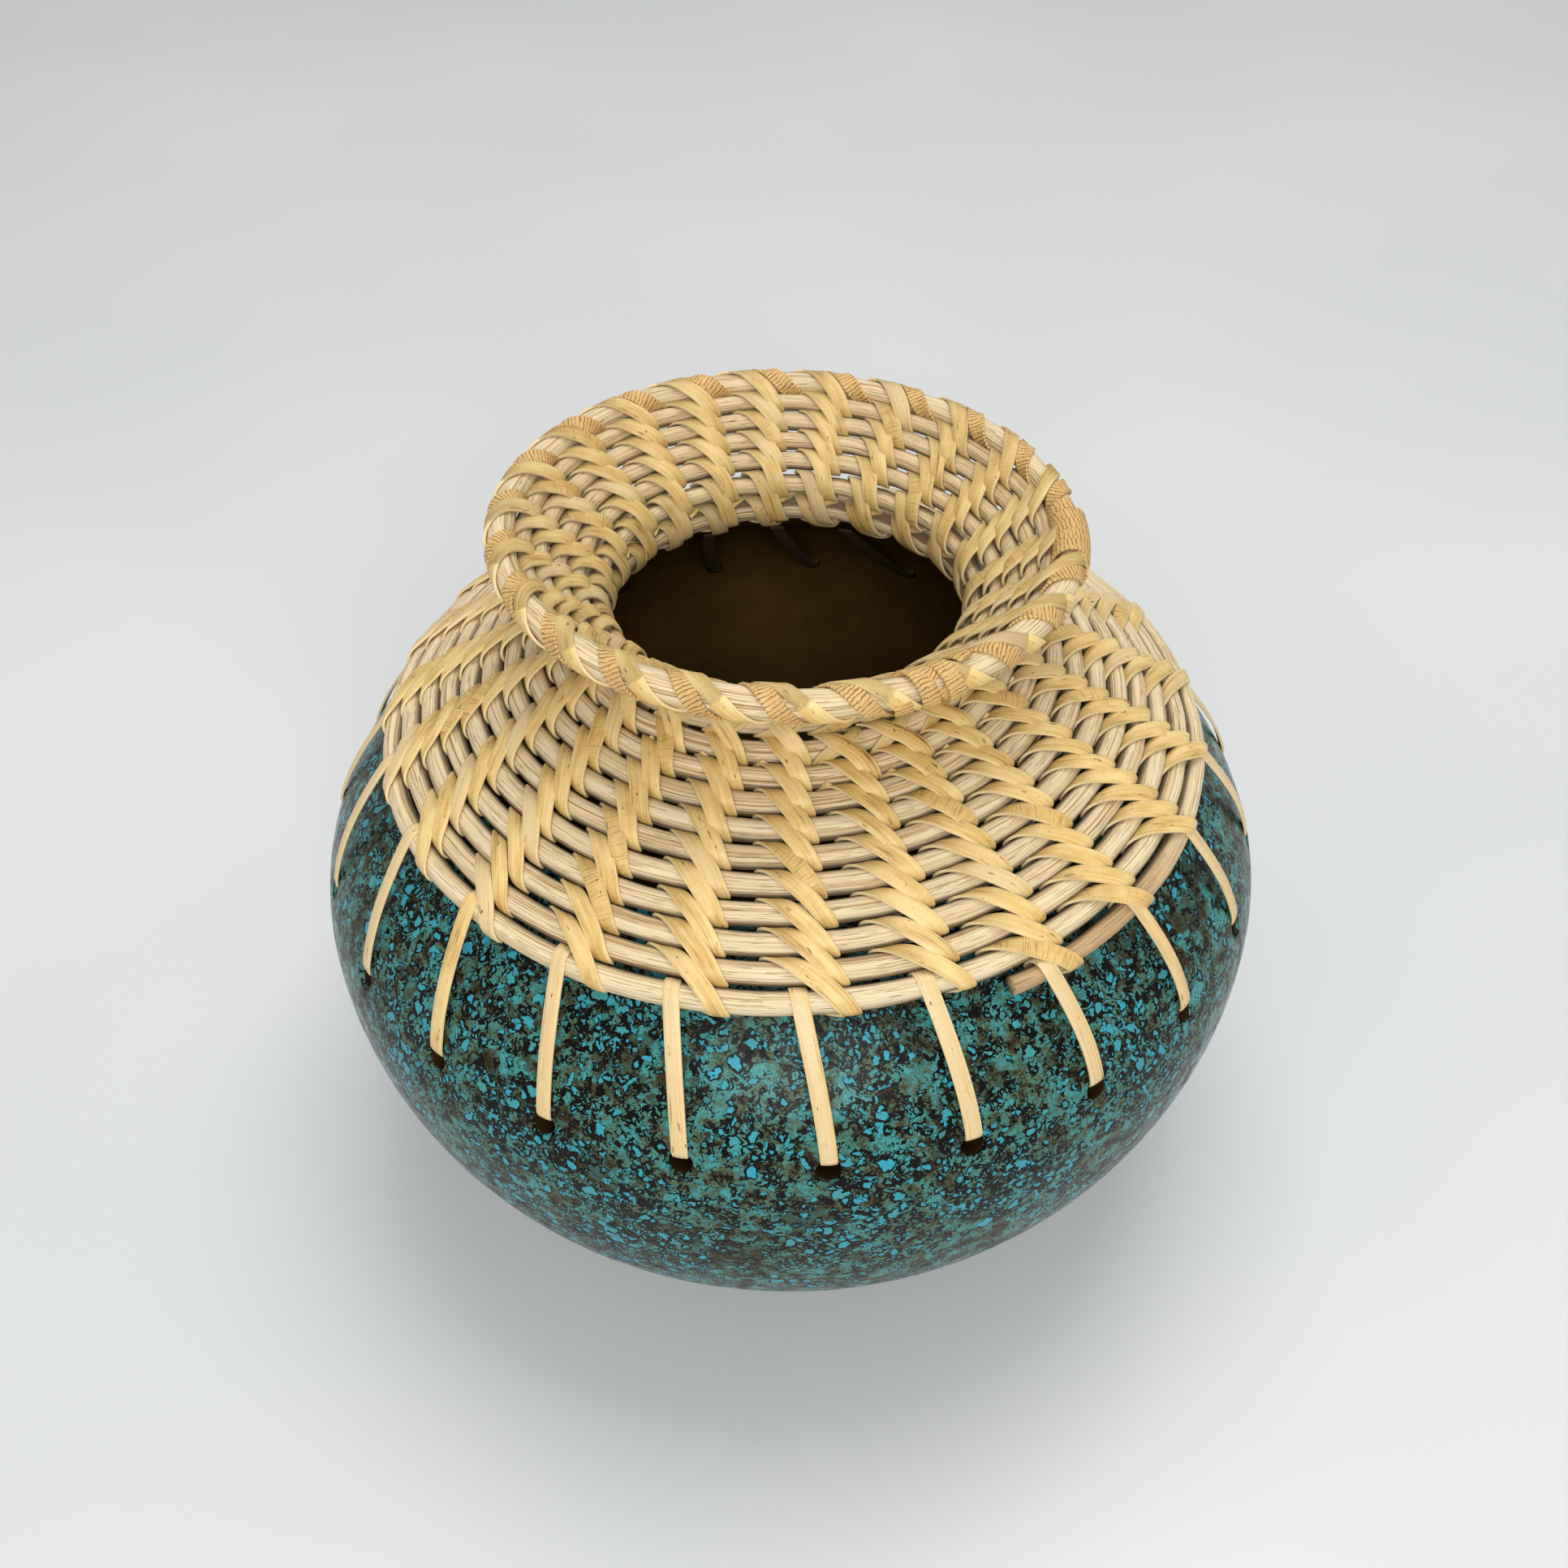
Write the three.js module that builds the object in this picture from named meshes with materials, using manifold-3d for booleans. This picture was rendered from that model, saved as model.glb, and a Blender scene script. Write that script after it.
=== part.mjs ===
// Round stoneware vase with a collar and flared neck of coiled rattan.
// The rattan core winds in one rising spiral: over the pot's shoulder, round the throat and up the neck.
// Split cane laces the turns together, over two turns and back under one, and ties the collar to the pot.
// Millimetres, +Z up. The origin is the centre of the foot.

import * as THREE from "three";
import { mergeVertices } from "three/addons/utils/BufferGeometryUtils.js";
import Module from "manifold-3d";

const wasm = await Module();
wasm.setup();

const degrees = THREE.MathUtils.degToRad;
const { lerp } = THREE.MathUtils;

// Pot
const POT_RADIUS = 100;
const BELLY_HEIGHT = 72;
const FOOT_RADIUS = 54;
const HEEL_BEVEL = 2;
const CROWN_RADIUS = 42;
const CROWN_HEIGHT = 128;
const CROWN_SLOPE = degrees(24);
const BELLY_PULL = 27;
const CROWN_PULL = 32;
const WALL = 7;
const MOUTH_RADIUS = 60;
const LIP_WALL = 3;
const HOLE_HEIGHT = 85;

// Rattan core, rim hoop and cane
const SHOULDER_CORE = 4.5;
const NECK_CORE = 4;
const HOOP_CORE = 5;
const CANE_WIDTH = 3.4;
const CANE_THICKNESS = 0.5;
const CLEARANCE = 0.3;
const SPLICE_GAP = 0.5;
const HOLE_PLAY = 1.6;

// Collar and neck
const COLLAR_LIFT = 0.3;
const COLLAR_TURNS = 9.2;
const SHOULDER_TURNS = 11;
const NECK_TURNS = 4;
const TAPER_TURNS = 0.5;
const CROWN_OVERHANG = 2.2;
const THROAT_BEND = 7;
const NECK_FLARE = degrees(50);

// Lacing
const COLUMNS = 23;
const STITCH_GAP = 0.4;
const TAIL_CLEARANCE = 1;

// Where ties start and how far stitches and ties slant, as shares of the angle between two columns
const TIE_START = -0.23;
const STITCH_SLANT = 0.65;
const TIE_SLANT = 0.22;
const TAIL_SLANT = 0.4;
const LAST_STITCH_END = 0.04;

// Where the coil's cut end and the hoop's splice lie, counted anticlockwise from +X
const CUT_AZIMUTH = degrees(297.4);
const HOOP_SPLICE_COLUMN = 4;

// Facets
const POT_SEGMENTS = 2 * COLUMNS;
const FOOT_STEPS = 6;
const SHOULDER_STEPS = 7;
const LIP_STEPS = 3;
const ROUND_SIDES = 6;
const HOLE_SIDES = 6;
const TIE_STEPS = 4;
const MERIDIAN_STEPS = 400;

// A hexagonal core lies with its flats towards the next turn and its corners up and down
const FLAT = Math.cos(Math.PI / ROUND_SIDES);
const SLOT = CANE_THICKNESS + 2 * CLEARANCE;
const LEVEL_STEP = CANE_THICKNESS / 10;
const SHOULDER_PITCH = SHOULDER_CORE * FLAT + SLOT;
const NECK_PITCH = NECK_CORE * FLAT + SLOT;
const COIL_TURNS = SHOULDER_TURNS + NECK_TURNS;
const STANDOFF = SHOULDER_CORE / 2 + SLOT + COLLAR_LIFT;
const HOLE_DIAMETER = CANE_WIDTH + HOLE_PLAY;
const COLUMN_ANGLE = (2 * Math.PI) / COLUMNS;
const STITCH_SPAN = STITCH_SLANT * COLUMN_ANGLE;
const STITCH_START_ANGLE = -STITCH_SPAN / 2;
const TIE_START_ANGLE = TIE_START * COLUMN_ANGLE;
const HOLE_ANGLE = TIE_START_ANGLE + TIE_SLANT * COLUMN_ANGLE;
const TAIL_ANGLE = HOLE_ANGLE + TAIL_SLANT * COLUMN_ANGLE;
const LAST_STITCH_ANGLE = LAST_STITCH_END * COLUMN_ANGLE;
const BEND_REACH = THROAT_BEND - SHOULDER_CORE / 4;
const THROAT_REACH = CROWN_OVERHANG + BEND_REACH * (Math.PI / 2 - CROWN_SLOPE);
const HOOP_REACH = turnReach(COIL_TURNS) + ((NECK_CORE + HOOP_CORE) / 2) * FLAT + SLOT;

const RATTAN = { color: 0xd8c59a, roughness: 0.75, metalness: 0 };
const CANE = { color: 0xd9b777, roughness: 0.5, metalness: 0 };
const GLAZE = { color: 0x3f7f7d, roughness: 0.7, metalness: 0 };

function mesh(name, geometry, finish) {
  const made = new THREE.Mesh(geometry, new THREE.MeshStandardMaterial(finish));
  made.name = name;
  return made;
}

// Joins rings of points, each with the same count, into one closed skin with flat ends.
function loft(rings) {
  const sides = rings[0].length;
  const last = (rings.length - 1) * sides;
  const positions = rings.flat().flatMap((p) => [p.x, p.y, p.z]);
  const index = [];
  for (let base = 0; base < last; base += sides) {
    for (let side = 0; side < sides; side++) {
      const next = (side + 1) % sides;
      index.push(base + side, base + next, base + sides + side);
      index.push(base + next, base + sides + next, base + sides + side);
    }
  }
  for (let side = 1; side < sides - 1; side++) {
    index.push(0, side + 1, side);
    index.push(last, last + side, last + side + 1);
  }
  const geometry = new THREE.BufferGeometry();
  geometry.setAttribute("position", new THREE.Float32BufferAttribute(positions, 3));
  geometry.setIndex(index);
  geometry.computeVertexNormals();
  return geometry;
}

// A closed geometry as a solid that can be cut.
function solidFrom(geometry) {
  const bare = geometry.clone();
  bare.deleteAttribute("normal");
  bare.deleteAttribute("uv");
  const merged = mergeVertices(bare, 1e-4);
  const corners = merged.index.array;
  const triangles = [];
  for (let i = 0; i < corners.length; i += 3) {
    const [a, b, c] = corners.slice(i, i + 3);
    if (a !== b && b !== c && c !== a) triangles.push(a, b, c);
  }
  const vertProperties = merged.getAttribute("position").array;
  const triVerts = new Uint32Array(triangles);
  return new wasm.Manifold(new wasm.Mesh({ numProp: 3, vertProperties, triVerts }));
}

function geometryFrom(solid) {
  const cut = solid.getMesh();
  const geometry = new THREE.BufferGeometry();
  geometry.setAttribute("position", new THREE.BufferAttribute(cut.vertProperties, 3));
  geometry.setIndex(new THREE.BufferAttribute(cut.triVerts, 1));
  geometry.computeVertexNormals();
  return geometry;
}

// The pot's outer wall in its half plane, x out and y up.
// The lower half is part of an ellipse, and the shoulder is one curve from the belly to the crown.
// The pot ends at its lip, where the curve reaches the mouth, and the collar goes on to the crown.
const crown = new THREE.Vector2(CROWN_RADIUS, CROWN_HEIGHT);
const shoulderCurve = new THREE.CubicBezierCurve(
  new THREE.Vector2(POT_RADIUS, BELLY_HEIGHT),
  new THREE.Vector2(POT_RADIUS, BELLY_HEIGHT + BELLY_PULL),
  new THREE.Vector2(Math.cos(CROWN_SLOPE), -Math.sin(CROWN_SLOPE)).multiplyScalar(CROWN_PULL).add(crown),
  crown,
);

// The direction out of the shoulder's surface at a share t of its curve.
function shoulderNormal(t) {
  const along = shoulderCurve.getTangent(t);
  return new THREE.Vector2(along.y, -along.x);
}

// The share of the shoulder's curve up to which its points are below, as a test tells.
function shoulderShare(isBelow) {
  let [low, high] = [0, 1];
  while (high - low > 1e-6) {
    const middle = (low + high) / 2;
    if (isBelow(shoulderCurve.getPoint(middle))) low = middle;
    else high = middle;
  }
  return low;
}

const lipShare = shoulderShare((point) => point.x > MOUTH_RADIUS);
const lipNormal = shoulderNormal(lipShare);
const lipCentre = shoulderCurve.getPoint(lipShare).addScaledVector(lipNormal, -LIP_WALL / 2);

// Outer wall points from the heel to the lip, each with its outward normal and the wall's thickness.
// The wall thins from the belly to the lip.
function outerWall() {
  const depth = BELLY_HEIGHT / Math.sqrt(1 - (FOOT_RADIUS / POT_RADIUS) ** 2);
  const heelAngle = Math.asin((BELLY_HEIGHT - HEEL_BEVEL) / depth);
  const points = [];
  for (let step = 0; step < FOOT_STEPS; step++) {
    const angle = heelAngle * (1 - step / FOOT_STEPS);
    const point = new THREE.Vector2(
      POT_RADIUS * Math.cos(angle),
      BELLY_HEIGHT - depth * Math.sin(angle),
    );
    const normal = new THREE.Vector2(depth * Math.cos(angle), -POT_RADIUS * Math.sin(angle));
    points.push({ point, normal: normal.normalize(), wall: WALL });
  }
  for (let step = 0; step <= SHOULDER_STEPS; step++) {
    const share = step / SHOULDER_STEPS;
    const t = lipShare * share;
    const wall = lerp(WALL, LIP_WALL, share);
    points.push({ point: shoulderCurve.getPoint(t), normal: shoulderNormal(t), wall });
  }
  return points;
}

function potProfile() {
  const side = outerWall();
  const outer = side.map(({ point }) => point);
  const inner = side
    .map(({ point, normal, wall }) => point.clone().addScaledVector(normal, -wall))
    .filter((point) => point.y > WALL)
    .reverse();
  const lip = [];
  const lipAngle = lipNormal.angle();
  for (let step = 1; step <= LIP_STEPS; step++) {
    const angle = lipAngle + (Math.PI * step) / (LIP_STEPS + 1);
    const round = new THREE.Vector2(Math.cos(angle), Math.sin(angle));
    lip.push(lipCentre.clone().addScaledVector(round, LIP_WALL / 2));
  }
  const floorRadius = inner[inner.length - 1].x - WALL / 2;
  const foot = [new THREE.Vector2(0, 0), new THREE.Vector2(outer[0].x - HEEL_BEVEL, 0)];
  const floor = [new THREE.Vector2(floorRadius, WALL), new THREE.Vector2(0, WALL)];
  return [...foot, ...outer, ...lip, ...inner, ...floor];
}

const holeShare = shoulderShare((point) => point.y < HOLE_HEIGHT);
const holePoint = shoulderCurve.getPoint(holeShare);
const holeNormal = shoulderNormal(holeShare);

function columnAzimuth(column) {
  return CUT_AZIMUTH + (column + 0.5) * COLUMN_ANGLE;
}

// A drill that stands square to the wall at one column's hole.
function holeDrill(column) {
  const drill = new THREE.CylinderGeometry(HOLE_DIAMETER / 2, HOLE_DIAMETER / 2, 3 * WALL, HOLE_SIDES);
  drill.rotateZ(-Math.PI / 2);
  drill.rotateY(-holeNormal.angle());
  drill.translate(holePoint.x - (WALL / 2) * holeNormal.x, 0, holePoint.y - (WALL / 2) * holeNormal.y);
  drill.rotateZ(columnAzimuth(column) + HOLE_ANGLE);
  return drill;
}

function pot() {
  const shell = new THREE.LatheGeometry(potProfile(), POT_SEGMENTS);
  shell.rotateX(Math.PI / 2);
  shell.rotateZ(columnAzimuth(0));
  let solid = solidFrom(shell);
  for (let column = 0; column < COLUMNS; column++) {
    solid = solid.subtract(solidFrom(holeDrill(column)));
  }
  return mesh("pot", geometryFrom(solid), GLAZE);
}

// The line that the middle of the coil follows in its half plane, as points a small step apart.
// It runs up the shoulder and a little past the crown, bends round the throat and flares to the rim.
// Its reach is the distance along it, counted from the crown and negative down the shoulder.
// In the bend the reach is counted on the tight side, where the turns come closest.
function collarLine() {
  const shoulder = [];
  for (let step = 0; step <= MERIDIAN_STEPS; step++) {
    const t = step / MERIDIAN_STEPS;
    const normal = shoulderNormal(t);
    shoulder.push({ point: shoulderCurve.getPoint(t).addScaledVector(normal, STANDOFF), normal, t });
  }
  let reach = 0;
  for (let i = shoulder.length - 1; i >= 0; i--) {
    if (i < shoulder.length - 1) reach -= shoulder[i].point.distanceTo(shoulder[i + 1].point);
    shoulder[i].reach = reach;
  }
  const top = shoulder[shoulder.length - 1];
  const inward = new THREE.Vector2(-top.normal.y, top.normal.x);
  const bendStart = top.point.clone().addScaledVector(inward, CROWN_OVERHANG);
  const bendCentre = bendStart.addScaledVector(top.normal, THROAT_BEND);
  const bendAngle = Math.PI / 2 - CROWN_SLOPE + NECK_FLARE;
  const neck = [];
  for (let step = 0; step <= MERIDIAN_STEPS; step++) {
    const angle = (bendAngle * step) / MERIDIAN_STEPS;
    const normal = top.normal.clone().rotateAround(new THREE.Vector2(), -angle);
    const point = bendCentre.clone().addScaledVector(normal, -THROAT_BEND);
    neck.push({ point, normal, reach: CROWN_OVERHANG + BEND_REACH * angle });
  }
  const bendEnd = neck[neck.length - 1];
  const neckLength = 2 * (HOOP_REACH - bendEnd.reach);
  const rise = new THREE.Vector2(-bendEnd.normal.y, bendEnd.normal.x);
  neck.push({
    point: bendEnd.point.clone().addScaledVector(rise, neckLength),
    normal: bendEnd.normal,
    reach: bendEnd.reach + neckLength,
  });
  return [...shoulder, ...neck];
}

const collar = collarLine();

// The place on the collar line at a reach: its point, its normal and, on the shoulder, the wall's share t.
function collarAt(reach) {
  let low = 0;
  let high = collar.length - 1;
  while (high - low > 1) {
    const middle = (low + high) >> 1;
    if (collar[middle].reach <= reach) low = middle;
    else high = middle;
  }
  const [a, b] = [collar[low], collar[high]];
  const share = (reach - a.reach) / (b.reach - a.reach);
  return {
    point: a.point.clone().lerp(b.point, share),
    normal: a.normal.clone().lerp(b.normal, share).normalize(),
    t: lerp(a.t ?? 1, b.t ?? 1, share),
  };
}

// A point in the half plane, offset from the collar line along its normal.
function collarPoint(reach, offset) {
  const { point, normal } = collarAt(reach);
  return point.addScaledVector(normal, offset);
}

// How far along the collar line the core has come after some turns from its cut end.
// The rise eases to the thinner core's half a turn past the splice, when both lie side by side.
function turnReach(turns) {
  const easing = SHOULDER_TURNS + 0.5;
  const belowEasing = Math.min(turns, easing) - COLLAR_TURNS;
  return SHOULDER_PITCH * belowEasing + NECK_PITCH * Math.max(turns - easing, 0);
}

// The core's middle and radius after some turns from the cut end.
// Past its whole turns the core is shaved down, so that the hoop lies level on it.
function coreAt(turns) {
  if (turns <= SHOULDER_TURNS) return { reach: turnReach(turns), radius: SHOULDER_CORE / 2 };
  if (turns <= COIL_TURNS) return { reach: turnReach(turns), radius: NECK_CORE / 2 };
  const below = turnReach(turns - 1) + (NECK_CORE / 2) * FLAT + SLOT;
  const above = HOOP_REACH - (HOOP_CORE / 2) * FLAT - SLOT;
  return { reach: (below + above) / 2, radius: (above - below) / 2 / FLAT };
}

// One section of a round rod that follows the collar line, standing at an azimuth.
// Its corners are let out so that the rod's flats keep the true radius between two sections.
function rodRing(reach, radius, azimuth) {
  const { point, normal } = collarAt(reach);
  const letOut = 1 / Math.cos(COLUMN_ANGLE / 2);
  const ring = [];
  for (let side = 0; side < ROUND_SIDES; side++) {
    const corner = normal.clone().rotateAround(new THREE.Vector2(), (-2 * Math.PI * side) / ROUND_SIDES);
    const at = point.clone().addScaledVector(corner, radius);
    const out = at.x * letOut;
    ring.push(new THREE.Vector3(out * Math.cos(azimuth), out * Math.sin(azimuth), at.y));
  }
  return ring;
}

// The core between two counts of steps, one step for each column of lacing.
// A length starts with the thickness that it has a step on.
function coilRings(firstStep, lastStep) {
  const rings = [];
  for (let step = firstStep; step <= lastStep; step++) {
    const { reach } = coreAt(step / COLUMNS);
    const { radius } = coreAt(Math.max(step, firstStep + 1) / COLUMNS);
    rings.push(rodRing(reach, radius, CUT_AZIMUTH + step * COLUMN_ANGLE));
  }
  return rings;
}

// The least distance between points of the core that lie over half a turn apart.
function leastCoilGap(rings) {
  const apart = Math.ceil(COLUMNS / 2);
  let least = Infinity;
  rings.forEach((ring, i) => {
    for (const other of rings.slice(i + apart, i + 2 * COLUMNS)) {
      for (const p of ring) for (const q of other) least = Math.min(least, p.distanceTo(q));
    }
  });
  return least;
}

// The core is two lengths of rattan, butted in the throat.
function coils() {
  const lastStep = Math.floor((COIL_TURNS + TAPER_TURNS) * COLUMNS);
  const spliceStep = SHOULDER_TURNS * COLUMNS;
  const shoulder = coilRings(0, spliceStep);
  const neck = coilRings(spliceStep, lastStep);
  console.log("least gap in the coil, mm:", leastCoilGap([...shoulder, ...neck.slice(1)]).toFixed(2));
  const along = neck[1][0].clone().sub(neck[0][0]).setLength(SPLICE_GAP);
  neck[0].forEach((point) => point.add(along));
  return [mesh("shoulder_coil", loft(shoulder), RATTAN), mesh("neck_coil", loft(neck), RATTAN)];
}

// A rod bent into a hoop, with its ends butted.
function rimHoop() {
  const first = HOOP_SPLICE_COLUMN;
  const rings = [];
  for (let step = 0; step <= COLUMNS; step++) {
    rings.push(rodRing(HOOP_REACH, HOOP_CORE / 2, CUT_AZIMUTH + (first + step) * COLUMN_ANGLE));
  }
  const along = rings[1][0].clone().sub(rings[0][0]).setLength(SPLICE_GAP);
  rings[0].forEach((point) => point.add(along));
  return mesh("rim_hoop", loft(rings), RATTAN);
}

// The turns that one column of lacing crosses, from the collar's edge to the hoop.
function rowsAt(column) {
  const part = (column + 0.5) / COLUMNS;
  const rows = [];
  for (let turn = 0; turn < COIL_TURNS; turn++) rows.push(coreAt(turn + part));
  if (part < TAPER_TURNS - 1 / COLUMNS) rows.push(coreAt(COIL_TURNS + part));
  rows.push({ reach: HOOP_REACH, radius: HOOP_CORE / 2 });
  return rows;
}

// The middle of the slot between a row and the next one up, or half a slot past the last row.
function slotAbove(rows, row) {
  const top = rows[row].reach + rows[row].radius * FLAT;
  if (row === rows.length - 1) return top + SLOT / 2;
  return (top + rows[row + 1].reach - rows[row + 1].radius * FLAT) / 2;
}

function slotBelow(rows, row) {
  return row === 0 ? rows[0].reach - rows[0].radius * FLAT - SLOT / 2 : slotAbove(rows, row - 1);
}

// How wide a slanting stitch is, measured along the turns, at a distance from the axis.
function stitchWidth(distance) {
  const travel = distance * Math.tan(STITCH_SPAN);
  const lean = Math.atan2(travel, 2 * SHOULDER_PITCH);
  return Math.min(CANE_WIDTH / Math.cos(lean), travel / 2 - STITCH_GAP);
}

// How far from the collar line a straight stroke between two reaches must lie to clear a row.
function strokeLevel(row, from, to, face) {
  const clear = row.radius + CLEARANCE;
  const middle = collarAt(row.reach).point;
  let level = clear;
  for (;;) {
    const start = collarPoint(from, face * level);
    const along = collarPoint(to, face * level).sub(start);
    const share = THREE.MathUtils.clamp(middle.clone().sub(start).dot(along) / along.lengthSq(), 0, 1);
    if (start.addScaledVector(along, share).distanceTo(middle) >= clear) return level;
    level += LEVEL_STEP;
  }
}

// One stitch down over two rows, through the slot and back under the lower row.
// face is 1 where the long stroke lies outside and -1 where it lies inside and follows the throat's bend.
function stitch(rows, upper, face, startAngle, endAngle, riseAngle = startAngle) {
  const lower = upper - 1;
  const enter = slotAbove(rows, upper) - CANE_THICKNESS / 2;
  const middle = slotAbove(rows, lower);
  const leave = slotBelow(rows, lower) + CANE_THICKNESS / 2;
  const rise = middle - CANE_THICKNESS / 2;
  const stops = face > 0 ? [enter, leave] : [enter, middle, leave];
  const levels = stops.slice(1).flatMap((to, i) =>
    [rows[upper], rows[lower]]
      .filter(({ reach }) => reach < stops[i] && reach > to)
      .map((row) => strokeLevel(row, stops[i], to, face)),
  );
  const level = face * Math.max(...levels);
  const place = (reach, offset, angle, widest) => {
    const at = collarPoint(reach, offset);
    return { at, angle, width: Math.min(widest, stitchWidth(at.x)) };
  };
  const over = stops.map((reach, i) =>
    place(reach, level, lerp(startAngle, endAngle, i / (stops.length - 1)), Infinity),
  );
  const under = -face * strokeLevel(rows[lower], leave, rise, -face);
  return [...over, place(leave, under, endAngle, CANE_WIDTH), place(rise, under, riseAngle, CANE_WIDTH)];
}

// A cane strip along a path in a half plane. Each place gives the foot of the strip, its slant from the
// column's middle and its width. The strip has a flat back and a crown on the side given.
function strip(name, path, crownSide, column) {
  const rings = path.map(({ at, angle, width }, i) => {
    const before = path[Math.max(i - 1, 0)].at;
    const after = path[Math.min(i + 1, path.length - 1)].at;
    const outgoing = (after === at ? at.clone().sub(before) : after.clone().sub(at)).normalize();
    const incoming = before === at ? outgoing.clone() : at.clone().sub(before).normalize();
    const miter = incoming.clone().add(outgoing).normalize();
    const crown = new THREE.Vector2(-miter.y, miter.x).multiplyScalar(
      (crownSide * CANE_THICKNESS) / miter.dot(outgoing),
    );
    const across = at.x * Math.tan(angle);
    const ridge = at.clone().add(crown);
    return [
      new THREE.Vector3(at.x, across - width / 2, at.y),
      new THREE.Vector3(at.x, across + width / 2, at.y),
      new THREE.Vector3(ridge.x, across, ridge.y),
    ];
  });
  if (crownSide < 0) rings.forEach((ring) => ring.reverse());
  const made = mesh(name, loft(rings), CANE);
  made.rotation.z = columnAzimuth(column);
  return made;
}

// The row nearest below the narrowest part of the throat.
function throatRow(rows) {
  return rows.findLastIndex(({ reach }) => reach <= THROAT_REACH);
}

// The stretch from the collar's edge to the hole, through the wall and up inside to the lip.
function tie(rows) {
  const start = collarAt(rows[0].reach);
  const lift = STANDOFF + rows[0].radius;
  const path = [];
  for (let step = 0; step <= TIE_STEPS; step++) {
    const share = step / TIE_STEPS;
    const t = lerp(start.t, holeShare, share);
    const height = CLEARANCE + lift * (1 - share) ** 2;
    const at = shoulderCurve.getPoint(t).addScaledVector(shoulderNormal(t), height);
    path.push({ at, angle: lerp(TIE_START_ANGLE, HOLE_ANGLE, share), width: CANE_WIDTH });
  }
  const inside = holePoint.clone().addScaledVector(holeNormal, -WALL - CLEARANCE);
  path.push({ at: inside, angle: HOLE_ANGLE, width: CANE_WIDTH });
  const run = lipCentre.clone().sub(inside).normalize();
  const aside = new THREE.Vector2(-run.y, run.x);
  const tuck = lipCentre.clone().addScaledVector(aside, LIP_WALL / 2 + TAIL_CLEARANCE);
  path.push({ at: tuck, angle: TAIL_ANGLE, width: CANE_WIDTH });
  return path;
}

function shoulderLacing(column) {
  const rows = rowsAt(column);
  const top = throatRow(rows);
  const tuck = collarPoint(slotAbove(rows, top) - CANE_THICKNESS / 2, -SHOULDER_CORE / 4);
  const path = [{ at: tuck, angle: STITCH_START_ANGLE, width: stitchWidth(tuck.x) }];
  for (let row = top; row > 0; row--) {
    const riseAngle = row > 1 ? STITCH_START_ANGLE : TIE_START_ANGLE;
    path.push(...stitch(rows, row, 1, STITCH_START_ANGLE, -STITCH_START_ANGLE, riseAngle));
  }
  const rise = collarPoint(slotAbove(rows, 0) - CANE_THICKNESS / 2, rows[0].radius + CLEARANCE);
  path.push({ at: rise, angle: TIE_START_ANGLE, width: CANE_WIDTH });
  path.push(...tie(rows));
  const number = String(column + 1).padStart(2, "0");
  return strip(`shoulder_lacing_${number}`, path, 1, column);
}

function neckLacing(column) {
  const rows = rowsAt(column);
  const bottom = throatRow(rows) + 1;
  const hoop = rows.length - 1;
  const startAngle = STITCH_SPAN / 2;
  const outside = HOOP_CORE / 2 + CLEARANCE;
  const overTop = slotAbove(rows, hoop) - CANE_THICKNESS / 2;
  const tail = collarPoint(HOOP_REACH, outside);
  const turn = collarPoint(overTop, outside);
  const path = [
    { at: tail, angle: startAngle, width: stitchWidth(tail.x) },
    { at: turn, angle: startAngle, width: stitchWidth(turn.x) },
  ];
  for (let row = hoop; row > bottom; row--) {
    const last = row === bottom + 1;
    const drawn = stitch(rows, row, -1, startAngle, last ? LAST_STITCH_ANGLE : -startAngle);
    path.push(...(last ? drawn.slice(0, -2) : drawn));
  }
  const tuck = collarPoint(slotBelow(rows, bottom) + CANE_THICKNESS / 2, NECK_CORE / 4);
  path.push({ at: tuck, angle: LAST_STITCH_ANGLE, width: stitchWidth(tuck.x) });
  const number = String(column + 1).padStart(2, "0");
  return strip(`neck_lacing_${number}`, path, -1, column);
}

const vase = new THREE.Group();
vase.add(pot(), ...coils(), rimHoop());
for (let column = 0; column < COLUMNS; column++) {
  vase.add(shoulderLacing(column), neckLacing(column));
}

export default vase;
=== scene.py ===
"""Looks of a round stoneware vase with a coiled rattan collar, a flared neck and cane lacing.

Sizes are in millimetres and angles in degrees, in the part's frame. A mesh turns into metres when it is
made.
"""

import logging
import math
from dataclasses import dataclass, field
from enum import Enum, IntEnum
from typing import Sequence, Union

import bmesh
import bpy
import numpy as np
from mathutils import Matrix, Vector


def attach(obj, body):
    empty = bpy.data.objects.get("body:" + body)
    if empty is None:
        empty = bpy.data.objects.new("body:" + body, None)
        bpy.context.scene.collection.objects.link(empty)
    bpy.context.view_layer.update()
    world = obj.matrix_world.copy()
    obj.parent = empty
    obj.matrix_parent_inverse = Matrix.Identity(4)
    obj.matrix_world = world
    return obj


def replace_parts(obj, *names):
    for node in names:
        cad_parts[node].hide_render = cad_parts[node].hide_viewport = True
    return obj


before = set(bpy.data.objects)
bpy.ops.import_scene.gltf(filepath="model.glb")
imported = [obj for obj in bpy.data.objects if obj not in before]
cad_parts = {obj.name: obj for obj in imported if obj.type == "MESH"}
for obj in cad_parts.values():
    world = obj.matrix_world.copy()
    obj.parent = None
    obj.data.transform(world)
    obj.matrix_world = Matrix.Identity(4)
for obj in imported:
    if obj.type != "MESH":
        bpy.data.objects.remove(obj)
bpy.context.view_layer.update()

log = logging.getLogger("vase")

METRE = 1000.0
BODY = "root"
GRAIN_MAP = "grain"
TONE_SHIFT = 37.0
TINY = 1e-9
LEAST_GAP = 1e-6
SEED_LIMIT = 9999
FINE_SHARES = np.linspace(0, 1, 4001)
Colour = tuple[float, float, float, float]
Socket = bpy.types.NodeSocket
Feed = Union[Socket, float, Sequence[float]]
Values = Union[np.ndarray, float]


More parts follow.
